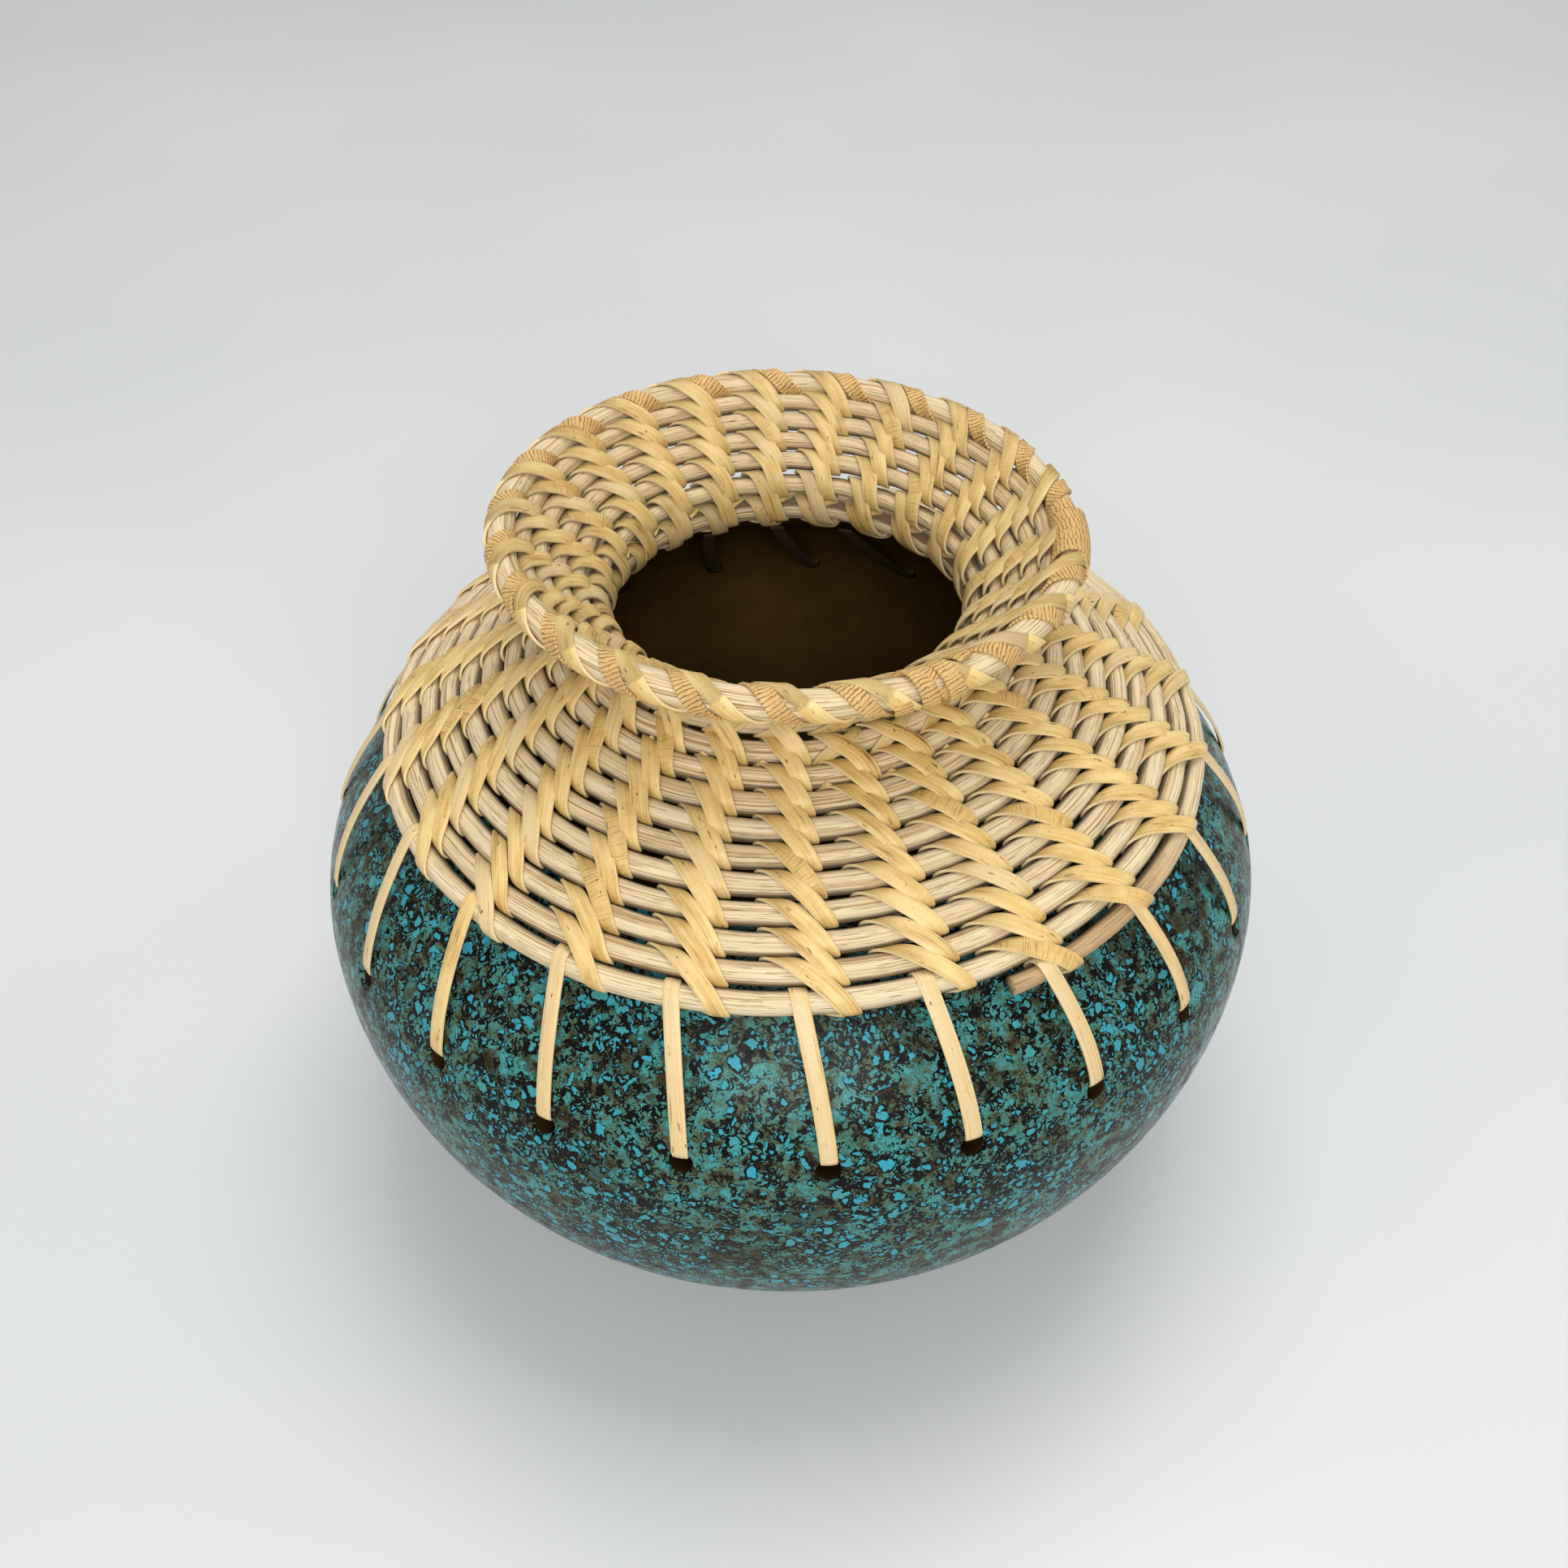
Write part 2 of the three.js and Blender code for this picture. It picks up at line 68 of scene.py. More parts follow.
class Slot(Enum):
    """The record's material slots."""

    STONEWARE = "stoneware"
    RATTAN = "rattan_core"
    CANE = "cane"


class Face(Enum):
    """The side of the coil that a long stitch lies on."""

    OUTER = 1
    INNER = -1


class PotFinish(IntEnum):
    """The order of the pot's materials."""

    GLAZE = 0
    INSIDE = 1
    # The darker bare clay, painted shade in the holes and on the lip under the collar.
    SHADED_BARE = 2


class Seed(IntEnum):
    """The numbers that chance starts from, so that every run gives the same vase."""

    THROWING = 5
    HOLES = 11
    SHOULDER_ROD = 20
    NECK_ROD = 40
    HOOP = 70
    FIBRES = 77
    SHOULDER_CANE = 500
    NECK_CANE = 900


def srgb(red: float, green: float, blue: float) -> Colour:
    """Turns a colour as seen on a screen into the linear one that shaders read.

    Args:
        red: Red, from 0 to 255.
        green: Green, from 0 to 255.
        blue: Blue, from 0 to 255.

    Returns:
        Linear red, green and blue, and an alpha of 1.
    """
    parts = [channel / 255 for channel in (red, green, blue)]
    linear = [c / 12.92 if c <= 0.04045 else ((c + 0.055) / 1.055) ** 2.4 for c in parts]
    return (*linear, 1.0)


def ease(value: np.ndarray, start: float, end: float) -> np.ndarray:
    """Goes smoothly from 0 at start to 1 at end.

    Args:
        value: Where to read it.
        start: The value that gives 0.
        end: The value that gives 1.

    Returns:
        The eased share, of the same shape as value.
    """
    share = np.clip((value - start) / (end - start), 0, 1)
    return share * share * (3 - 2 * share)


def unit(vectors: np.ndarray) -> np.ndarray:
    """Scales vectors, held in the last axis, to a length of 1."""
    return vectors / np.linalg.norm(vectors, axis=-1, keepdims=True)


def quarter_turn(vectors: np.ndarray) -> np.ndarray:
    """Turns vectors of the half plane by 90 degrees."""
    return np.stack([-vectors[..., 1], vectors[..., 0]], axis=-1)


def gaps_in(places: np.ndarray) -> np.ndarray:
    """Measures the gaps between neighbouring places."""
    return np.linalg.norm(np.diff(places, axis=0), axis=1)


def added_up(gaps: np.ndarray) -> np.ndarray:
    """Adds up gaps to the distance from the first place, which is 0."""
    return np.concatenate([[0], np.cumsum(gaps)])


def read_off(where: np.ndarray, known: np.ndarray, pairs: np.ndarray) -> np.ndarray:
    """Reads pairs of values between the distances at which they are known.

    Args:
        where: The distances to read them at.
        known: The distances at which they are known, from low to high.
        pairs: The pairs there.

    Returns:
        The pairs, in the last axis.
    """
    return np.stack([np.interp(where, known, pairs[:, i]) for i in (0, 1)], axis=-1)


def new_mesh(name: str, points: np.ndarray, faces: list[list[int]],
             materials: Sequence[bpy.types.Material]) -> bpy.types.Mesh:
    """Makes a mesh.

    Args:
        name: Its name.
        points: Its points, in millimetres.
        faces: Its faces, as numbers of points.
        materials: Its materials.

    Returns:
        The mesh, in metres.
    """
    mesh = bpy.data.meshes.new(name)
    mesh.from_pydata((points / METRE).tolist(), [], faces)
    for material in materials:
        mesh.materials.append(material)
    return mesh


def placed(name: str, data: bpy.types.ID) -> bpy.types.Object:
    """Puts a mesh, a lamp or a camera into the scene.

    Args:
        name: The object's name.
        data: What it shows.

    Returns:
        The object.
    """
    made = bpy.data.objects.new(name, data)
    bpy.context.scene.collection.objects.link(made)
    return made


@dataclass(frozen=True)
class Unevenness:
    """A smooth, repeatable wander along a length, as in handmade or grown things."""

    seed: int
    size: float
    period: float
    octaves: int = 4
    spread: float = 0.25
    strength: float = 0.6

    def along(self, lengths: np.ndarray) -> np.ndarray:
        """Reads the wander.

        Args:
            lengths: Distances along the piece.

        Returns:
            The wander at each distance, within about plus and minus its size.
        """
        rng = np.random.default_rng(self.seed)
        total = np.zeros_like(lengths, dtype=float)
        for octave in range(1, self.octaves + 1):
            turn = 2 * math.pi * octave * rng.uniform(1 - self.spread, 1 + self.spread) / self.period
            total += np.sin(turn * lengths + rng.uniform(0, 2 * math.pi)) / octave
        return self.strength * self.size * total


@dataclass(frozen=True)
class Clouds:
    """Cloudy noise in space, as in glaze and clay, with a scale for each millimetre."""

    scale: float
    detail: float = 2.0
    rough: float = 0.5
    shift: tuple[float, float, float] = (0.0, 0.0, 0.0)


@dataclass(frozen=True)
class Fibres:
    """Noise stretched along a strip or rod, with steps for each millimetre along and across it."""

    along: float
    across: float
    detail: float = 2.0
    rough: float = 0.5


@dataclass(frozen=True)
class Cover:
    """The values of a pattern between which a second colour comes up, and how much of it shows at most."""

    start: float
    end: float
    most: float = 1.0


class ShaderTree:
    """A material's node tree, with short calls for the nodes that the finishes use."""

    def __init__(self, name: str) -> None:
        """Makes a material that has one plain shader.

        Args:
            name: The material's name.
        """
        self.material = bpy.data.materials.new(name)
        self.material.use_nodes = True
        self.nodes = self.material.node_tree.nodes
        self.links = self.material.node_tree.links
        self.shader = self.nodes["Principled BSDF"]

    def feed(self, target: Socket, value: Feed) -> None:
        """Links a socket to another, or sets it to a constant.

        Args:
            target: The input socket.
            value: An output socket or a constant.
        """
        if isinstance(value, bpy.types.NodeSocket):
            self.links.new(value, target)
        else:
            target.default_value = value

    def coordinates(self) -> Socket:
        """Gives the place on the object, in millimetres."""
        place = self.nodes.new("ShaderNodeTexCoord").outputs["Object"]
        return self.vector("MULTIPLY", place, (METRE, METRE, METRE))

    def grain(self, along: float, across: float) -> Socket:
        """Gives the place on a strip or rod, stretched along its length.

        Args:
            along: Steps for each millimetre of length.
            across: Steps for each millimetre round the section.

        Returns:
            The stretched place, set off by the piece's tone so that no two stretches look alike.
        """
        chart = self.nodes.new("ShaderNodeUVMap")
        chart.uv_map = GRAIN_MAP
        stretched = self.vector("MULTIPLY", chart.outputs["UV"], (along, across, 0))
        offset = self.nodes.new("ShaderNodeCombineXYZ")
        self.feed(offset.inputs["Z"], self.times(self.attribute("tone"), TONE_SHIFT))
        return self.vector("ADD", stretched, offset.outputs["Vector"])

    def attribute(self, name: str) -> Socket:
        """Gives a number that the mesh holds at each point.

        Args:
            name: The attribute's name.

        Returns:
            The socket with that number.
        """
        node = self.nodes.new("ShaderNodeAttribute")
        node.attribute_name = name
        return node.outputs["Fac"]

    def math(self, operation: str, first: Feed, second: Feed = 0.0) -> Socket:
        """Works out one step of arithmetic.

        Args:
            operation: Blender's name for the step.
            first: The first number.
            second: The second number, if the step takes one.

        Returns:
            The result.
        """
        node = self.nodes.new("ShaderNodeMath")
        node.operation = operation
        self.feed(node.inputs[0], first)
        self.feed(node.inputs[1], second)
        return node.outputs[0]

    def plus(self, first: Feed, second: Feed) -> Socket:
        """Adds two numbers."""
        return self.math("ADD", first, second)

    def minus(self, first: Feed, second: Feed) -> Socket:
        """Takes the second number from the first."""
        return self.math("SUBTRACT", first, second)

    def times(self, first: Feed, second: Feed) -> Socket:
        """Multiplies two numbers."""
        return self.math("MULTIPLY", first, second)

    def scaled(self, value: Feed, slope: float, start: float) -> Socket:
        """Multiplies a number by a slope and adds a start."""
        return self.plus(self.times(value, slope), start)

    def weighed(self, first: Feed, share: float, second: Feed) -> Socket:
        """Adds two numbers, of which the first counts with a share and the second with the rest."""
        return self.plus(self.times(first, share), self.times(second, 1 - share))

    def vector(self, operation: str, first: Feed, second: Feed) -> Socket:
        """Works out one step of arithmetic on vectors.

        Args:
            operation: Blender's name for the step.
            first: The first vector.
            second: The second vector.

        Returns:
            The result.
        """
        node = self.nodes.new("ShaderNodeVectorMath")
        node.operation = operation
        self.feed(node.inputs[0], first)
        self.feed(node.inputs[1], second)
        return node.outputs["Vector"]

    def noise(self, place: Socket, scale: float, detail: float = 2.0, rough: float = 0.5) -> Socket:
        """Adds cloudy noise.

        Args:
            place: Where to read it.
            scale: Clouds for each unit of place.
            detail: How many finer layers it has.
            rough: How strong the finer layers are.

        Returns:
            The noise, mostly between 0.2 and 0.8.
        """
        node = self.nodes.new("ShaderNodeTexNoise")
        self.feed(node.inputs["Vector"], place)
        node.inputs["Scale"].default_value = scale
        node.inputs["Detail"].default_value = detail
        node.inputs["Roughness"].default_value = rough
        return node.outputs["Fac"]

    def clouds(self, pattern: Clouds, place: Socket) -> Socket:
        """Adds cloudy noise in space.

        Args:
            pattern: The clouds' sizes.
            place: Where to read it.

        Returns:
            The noise.
        """
        if any(pattern.shift):
            place = self.vector("ADD", place, pattern.shift)
        return self.noise(place, pattern.scale, pattern.detail, pattern.rough)

    def fibres(self, pattern: Fibres) -> Socket:
        """Adds noise that is stretched along a strip or rod."""
        return self.noise(self.grain(pattern.along, pattern.across), 1.0, pattern.detail, pattern.rough)

    def cells(self, place: Socket, size: float, feature: str = "F1") -> bpy.types.Node:
        """Adds a pattern of irregular cells.

        Args:
            place: Where to read it.
            size: A cell's usual width, in units of place.
            feature: What the distance is measured to.

        Returns:
            The pattern's node.
        """
        node = self.nodes.new("ShaderNodeTexVoronoi")
        node.feature = feature
        self.feed(node.inputs["Vector"], place)
        node.inputs["Scale"].default_value = 1 / size
        return node

    def stirred(self, place: Socket, scale: float, amount: float) -> Socket:
        """Moves each place a little by noise, so that patterns lose their straight edges.

        Args:
            place: Where the pattern is read.
            scale: Swirls for each unit of place.
            amount: How far a place moves.

        Returns:
            The moved place.
        """
        noise = self.noise(place, scale).node
        swirl = self.vector("SUBTRACT", noise.outputs["Color"], (0.5, 0.5, 0.5))
        return self.vector("ADD", place, self.vector("MULTIPLY", swirl, (amount, amount, amount)))

    def fade(self, value: Feed, start: float, end: float) -> Socket:
        """Goes smoothly from 0 at start to 1 at end.

        Args:
            value: The number to read.
            start: The number that gives 0.
            end: The number that gives 1.

        Returns:
            The eased share.
        """
        node = self.nodes.new("ShaderNodeMapRange")
        node.interpolation_type = "SMOOTHSTEP"
        falls = start > end
        self.feed(node.inputs["Value"], value)
        node.inputs["From Min"].default_value = min(start, end)
        node.inputs["From Max"].default_value = max(start, end)
        node.inputs["To Min"].default_value = 1.0 if falls else 0.0
        node.inputs["To Max"].default_value = 0.0 if falls else 1.0
        return node.outputs["Result"]

    def ramp(self, share: Socket, steps: Sequence[float], colours: Sequence[Colour]) -> Socket:
        """Turns a share into a colour.

        Args:
            share: The share to read.
            steps: Shares from low to high.
            colours: The colour at each of them.

        Returns:
            The colour.
        """
        node = self.nodes.new("ShaderNodeValToRGB")
        elements = node.color_ramp.elements
        for step in steps[2:]:
            elements.new(step)
        for element, step, colour in zip(elements, steps, colours):
            element.position = step
            element.color = colour
        self.feed(node.inputs["Fac"], share)
        return node.outputs["Color"]

    def mix(self, share: Feed, first: Feed, second: Feed) -> Socket:
        """Mixes two colours.

        Args:
            share: How much of the second colour shows.
            first: The first colour.
            second: The second colour.

        Returns:
            The mixed colour.
        """
        node = self.nodes.new("ShaderNodeMix")
        node.data_type = "RGBA"
        self.feed(node.inputs[0], share)
        self.feed(node.inputs[6], first)
        self.feed(node.inputs[7], second)
        return node.outputs[2]

    def shown(self, pattern: Feed, cover: Cover) -> Socket:
        """Tells how much of a cover shows."""
        return self.times(self.fade(pattern, cover.start, cover.end), cover.most)

    def covered(self, colour: Feed, other: Feed, pattern: Feed, cover: Cover) -> Socket:
        """Lays a second colour over a first where a pattern lets it show."""
        return self.mix(self.shown(pattern, cover), colour, other)

    def finish(self, colour: Socket, rough: Feed, height: Socket, depth: float,
               shine: float) -> bpy.types.Material:
        """Joins the patterns to the shader.

        Args:
            colour: The base colour.
            rough: The roughness.
            height: The relief, from 0 to 1.
            depth: How deep the relief is, in millimetres.
            shine: The specular level.

        Returns:
            The finished material.
        """
        bump = self.nodes.new("ShaderNodeBump")
        bump.inputs["Distance"].default_value = depth / METRE
        self.feed(bump.inputs["Height"], height)
        self.feed(self.shader.inputs["Base Color"], colour)
        self.feed(self.shader.inputs["Roughness"], rough)
        self.feed(self.shader.inputs["Normal"], bump.outputs["Normal"])
        self.shader.inputs["Specular IOR Level"].default_value = shine
        return self.material


@dataclass(frozen=True)
class SpeckledGlaze:
    """Matte turquoise glaze that broke into islands with dark edges over brown clay."""

    bright: Colour = srgb(54, 160, 182)
    soft: Colour = srgb(70, 148, 148)
    teal: Colour = srgb(66, 122, 114)
    moss: Colour = srgb(80, 97, 72)
    rust: Colour = srgb(54, 39, 20)
    dark: Colour = srgb(16, 13, 9)
    # Patterns, and the thin ground.
    swirls: tuple[tuple[float, float], ...] = ((0.3, 2.6), (0.9, 1.7))
    cluster: Clouds = Clouds(0.05, 3.0, 0.55)
    patch: Clouds = Clouds(0.06, 5.0, 0.65, (310.0, 90.0, 40.0))
    mottle: Clouds = Clouds(0.26, 6.0, 0.62)
    grit: Clouds = Clouds(1.3, 3.0, 0.6, (9.0, 77.0, 31.0))
    gritty: float = 0.4
    ground_steps: tuple[float, ...] = (0.37, 0.45, 0.52, 0.62)
    shade_pull: float = -0.6
    earthy: Cover = Cover(0.23, 0.27, 0.55)
    earth_grit: tuple[float, float] = (0.40, 0.56)
    mossy: Cover = Cover(0.46, 0.34, 0.5)
    pinholes: Cover = Cover(0.61, 0.65, 0.85)
    # Dark threads, in cells of this width.
    thread: float = 1.15
    thread_breaks: Clouds = Clouds(0.34, 3.0, 0.6)
    thread_width: Cover = Cover(0.46, 0.60, 0.17)
    thread_edge: tuple[float, float] = (0.02, -0.02)
    # Pools and islands, with their dark outlines.
    pool: Clouds = Clouds(0.42, 2.5, 0.5, (71.0, 23.0, 55.0))
    pool_crowding: float = 0.42
    pool_body: tuple[float, float] = (0.625, 0.645)
    pool_outline: tuple[float, float] = (0.585, 0.60)
    island: float = 3.3
    fleck: float = 1.7
    least_island: float = 0.16
    island_spread: float = 0.26
    island_body: tuple[float, float] = (-0.01, 0.02)
    island_outline: tuple[float, float] = (-0.56, -0.46)
    bare: Cover = Cover(0.68, 0.34, 0.50)
    least_bare: float = 0.44
    # The surface.
    ground_relief: float = 0.9
    thread_relief: float = 0.4
    roughness: tuple[float, float] = (1.0, -0.6)
    relief: float = 0.18
    shine: float = 0.12

    def islands(self, tree: ShaderTree, place: Socket, size: float,
                bare: Feed) -> tuple[Socket, Socket, Socket]:
        """Scatters islands of glaze, each with a dark edge.

        Args:
            tree: The material's tree.
            place: Where the pattern is read.
            size: The usual distance between islands.
            bare: The share of cells with no island.

        Returns:
            Where islands are, where they and their edges are, and a random share for each island.
        """
        cells = tree.cells(place, size)
        chance = tree.nodes.new("ShaderNodeSeparateColor")
        tree.feed(chance.inputs["Color"], cells.outputs["Color"])
        reach = tree.scaled(chance.outputs["Green"], self.island_spread, self.least_island)
        inside = tree.minus(reach, cells.outputs["Distance"])
        present = tree.math("GREATER_THAN", chance.outputs["Red"], bare)
        outer, inner = self.island_outline
        body = tree.times(tree.fade(inside, *self.island_body), present)
        edge = tree.times(tree.fade(inside, outer / size, inner / size), present)
        return body, edge, chance.outputs["Blue"]

    def pools(self, tree: ShaderTree, place: Socket, cluster: Socket) -> tuple[Socket, Socket]:
        """Runs pools of glaze together, with ragged dark outlines.

        Args:
            tree: The material's tree.
            place: Where the pattern is read.
            cluster: Where pools crowd.

        Returns:
            Where pools are, and where they and their outlines are.
        """
        crowded = tree.times(tree.minus(cluster, 0.5), self.pool_crowding)
        level = tree.plus(tree.clouds(self.pool, place), crowded)
        return tree.fade(level, *self.pool_body), tree.fade(level, *self.pool_outline)

    def ground(self, tree: ShaderTree, flat: Socket, mottle: Socket) -> Socket:
        """Colours the thin glaze between islands: teal and moss, worn to brown in patches.

        Args:
            tree: The material's tree.
            flat: The place on the pot.
            mottle: The pattern that lightens and darkens it.

        Returns:
            The colour.
        """
        grit = tree.clouds(self.grit, flat)
        shade = tree.plus(mottle, tree.times(tree.minus(grit, 0.5), self.gritty))
        base = tree.ramp(shade, self.ground_steps, (self.rust, self.moss, self.teal, self.soft))
        worn = tree.plus(tree.clouds(self.patch, flat), tree.times(shade, self.shade_pull))
        earth = tree.mix(tree.fade(grit, *self.earth_grit), self.dark, self.rust)
        base = tree.covered(base, earth, worn, self.earthy)
        base = tree.covered(base, self.moss, grit, self.mossy)
        return tree.covered(base, self.dark, grit, self.pinholes)

    def material(self) -> bpy.types.Material:
        """Makes the glaze's material.

        Returns:
            The material.
        """
        tree = ShaderTree("speckled_glaze")
        place = flat = tree.coordinates()
        for scale, amount in self.swirls:
            place = tree.stirred(place, scale, amount)
        cluster = tree.clouds(self.cluster, flat)
        mottle = tree.clouds(self.mottle, place)
        seams = tree.cells(place, self.thread, "DISTANCE_TO_EDGE").outputs["Distance"]
        width = tree.shown(tree.clouds(self.thread_breaks, place), self.thread_width)
        thread = tree.fade(tree.minus(seams, width), *self.thread_edge)
        bare = tree.plus(tree.shown(cluster, self.bare), self.least_bare)
        pool, pool_edge = self.pools(tree, place, cluster)
        fleck, fleck_edge, fleck_tint = self.islands(tree, place, self.fleck, bare)
        island, island_edge, island_tint = self.islands(tree, place, self.island, bare)
        layers = (
            (pool, pool_edge, tree.mix(mottle, self.soft, self.bright)),
            (fleck, fleck_edge, tree.mix(fleck_tint, self.teal, self.bright)),
            (island, island_edge, tree.mix(island_tint, self.soft, self.bright)),
        )
        colour = tree.mix(thread, self.ground(tree, flat, mottle), self.dark)
        for body, edge, tint in layers:
            colour = tree.mix(body, tree.mix(edge, colour, self.dark), tint)
        glazed = tree.math("MAXIMUM", tree.math("MAXIMUM", fleck, island), pool)
        relief = tree.plus(glazed, tree.times(mottle, self.ground_relief))
        relief = tree.minus(relief, tree.times(thread, self.thread_relief))
        return tree.finish(colour, tree.fade(mottle, *self.roughness), relief, self.relief, self.shine)


@dataclass(frozen=True)
class BareClay:
    """Dark brown fired clay, unglazed inside the pot, at its lip and in its holes; a darker copy stands as
    painted shade at the lip and in the holes.
    """

    name: str
    light: Colour
    dark: Colour
    cloud: Clouds = Clouds(0.07, 5.0, 0.6)
    grit: Clouds = Clouds(2.2, 3.0, 0.6)
    cloud_share: float = 0.7
    steps: tuple[float, float] = (0.35, 0.68)
    roughness: tuple[float, float] = (2.0, -1.0)
    relief: float = 0.12
    shine: float = 0.05

    def material(self) -> bpy.types.Material:
        """Makes the clay's material.

        Returns:
            The material.
        """
        tree = ShaderTree(self.name)
        place = tree.coordinates()
        grit = tree.clouds(self.grit, place)
        share = tree.weighed(tree.clouds(self.cloud, place), self.cloud_share, grit)
        colour = tree.ramp(share, self.steps, (self.dark, self.light))
        return tree.finish(colour, tree.fade(grit, *self.roughness), grit, self.relief, self.shine)


@dataclass(frozen=True)
class RattanGrain:
    """Bare round reed, pale with brown fibres along its length."""

    pale: Colour = srgb(243, 223, 184)
    straw: Colour = srgb(230, 203, 156)
    fibre: Colour = srgb(180, 143, 97)
    # Brown of wear, also used as painted shade up the neck.
    worn: Colour = srgb(198, 162, 110)
    # Painted shade between turns.
    gap_shade: Colour = srgb(84, 58, 30)
    fine: Fibres = Fibres(0.010, 2.8, 3.0, 0.6)
    broad: Fibres = Fibres(0.012, 0.5, 3.0, 0.55)
    pores: Fibres = Fibres(0.16, 4.6, 1.0)
    fine_share: float = 0.66
    steps: tuple[float, ...] = (0.37, 0.44, 0.52, 0.66)
    pitted: Cover = Cover(0.63, 0.70, 0.6)
    pit_relief: float = 0.5
    roughness: tuple[float, float] = (1.4, -0.9)
    relief: float = 0.5
    shine: float = 0.3

    def material(self) -> bpy.types.Material:
        """Makes the reed's material.

        Returns:
            The material.
        """
        tree = ShaderTree("rattan_grain")
        fine = tree.fibres(self.fine)
        share = tree.weighed(fine, self.fine_share, tree.fibres(self.broad))
        colour = tree.ramp(share, self.steps, (self.fibre, self.straw, self.pale, self.straw))
        pits = tree.shown(tree.fibres(self.pores), self.pitted)
        colour = tree.mix(pits, colour, self.fibre)
        # Browner at the cut end from wear, and browner up the neck as painted shade.
        colour = tree.mix(tree.attribute("worn"), colour, tree.mix(fine, self.fibre, self.worn))
        # Painted shade where a turn faces its neighbours.
        colour = tree.mix(tree.attribute("gap_shade"), colour, self.gap_shade)
        relief = tree.minus(fine, tree.times(pits, self.pit_relief))
        return tree.finish(colour, tree.fade(fine, *self.roughness), relief, self.relief, self.shine)


@dataclass(frozen=True)
class CaneSkin:
    """Split cane: a smooth straw-yellow skin on one side and pale fibre on the back and edges."""

    gold: Colour = srgb(218, 180, 106)
    straw: Colour = srgb(240, 209, 142)
    pale: Colour = srgb(230, 203, 152)
    brown: Colour = srgb(140, 96, 46)
    edge: Colour = srgb(236, 214, 164)
    # Dark brown: real specks and a few dark fibres, and painted shade on the strips, in the holes and on
    # the tails.
    soil_and_shade_brown: Colour = srgb(66, 44, 20)
    fine: Fibres = Fibres(0.05, 2.4, 4.0, 0.6)
    cloud: Fibres = Fibres(0.12, 0.4, 3.0, 0.55)
    creases: Fibres = Fibres(5.0, 0.25, 2.0)
    lines: Fibres = Fibres(0.015, 3.2, 2.0, 0.6)
    dashes: Fibres = Fibres(0.10, 3.0, 1.0)
    stains: Fibres = Fibres(0.22, 0.75, 2.0, 0.6)
    specks: Fibres = Fibres(0.5, 1.3, 1.0)
    fine_share: float = 0.45
    skin_steps: tuple[float, ...] = (0.30, 0.43, 0.58)
    fibre_steps: tuple[float, float] = (0.36, 0.5)
    dashed: Cover = Cover(0.66, 0.72, 0.6)
    fibrous: Cover = Cover(0.55, 0.8)
    golden: Cover = Cover(0.30, 0.0, 0.6)
    stained: Cover = Cover(0.66, 0.74, 0.75)
    specked: Cover = Cover(0.74, 0.78, 0.8)
    creased: tuple[float, float] = (0.50, 0.66)
    crease_tone: Cover = Cover(0.20, 0.08, 0.5)
    least_crease: float = 0.08
    back_share: float = 0.75
    crease_relief: float = 0.15
    grain_roughness: float = 0.3
    skin_roughness: float = 0.22
    soil_and_shade_roughness: float = 0.6
    relief: float = 0.12
    shine: float = 0.5

    def material(self) -> bpy.types.Material:
        """Makes the cane's material.

        Returns:
            The material.
        """
        tree = ShaderTree("cane_skin")
        fine, creases = tree.fibres(self.fine), tree.fibres(self.creases)
        tone, soil_and_shade = tree.attribute("tone"), tree.attribute("soil_and_shade")
        share = tree.weighed(fine, self.fine_share, tree.fibres(self.cloud))
        colour = tree.ramp(share, self.skin_steps, (self.brown, self.gold, self.straw))
        fibrous = tree.ramp(tree.fibres(self.lines), self.fibre_steps, (self.gold, self.pale))
        fibrous = tree.covered(fibrous, self.brown, tree.fibres(self.dashes), self.dashed)
        colour = tree.covered(colour, fibrous, tone, self.fibrous)
        colour = tree.covered(colour, self.gold, tone, self.golden)
        colour = tree.covered(colour, self.brown, tree.fibres(self.stains), self.stained)
        colour = tree.covered(colour, self.soil_and_shade_brown, tree.fibres(self.specks), self.specked)
        cracked = tree.plus(tree.shown(tone, self.crease_tone), self.least_crease)
        colour = tree.mix(tree.times(tree.fade(creases, *self.creased), cracked), colour, self.brown)
        back = tree.minus(1.0, tree.attribute("skin"))
        colour = tree.mix(tree.times(back, self.back_share), colour, self.edge)
        # Painted shade on the strips, in the holes and on the tails inside; real dirt on a few loose
        # fibres.
        colour = tree.mix(soil_and_shade, colour, self.soil_and_shade_brown)
        relief = tree.plus(fine, tree.times(creases, self.crease_relief))
        rough = tree.scaled(fine, self.grain_roughness, self.skin_roughness)
        rough = tree.plus(rough, tree.times(soil_and_shade, self.soil_and_shade_roughness))
        return tree.finish(colour, rough, relief, self.relief, self.shine)


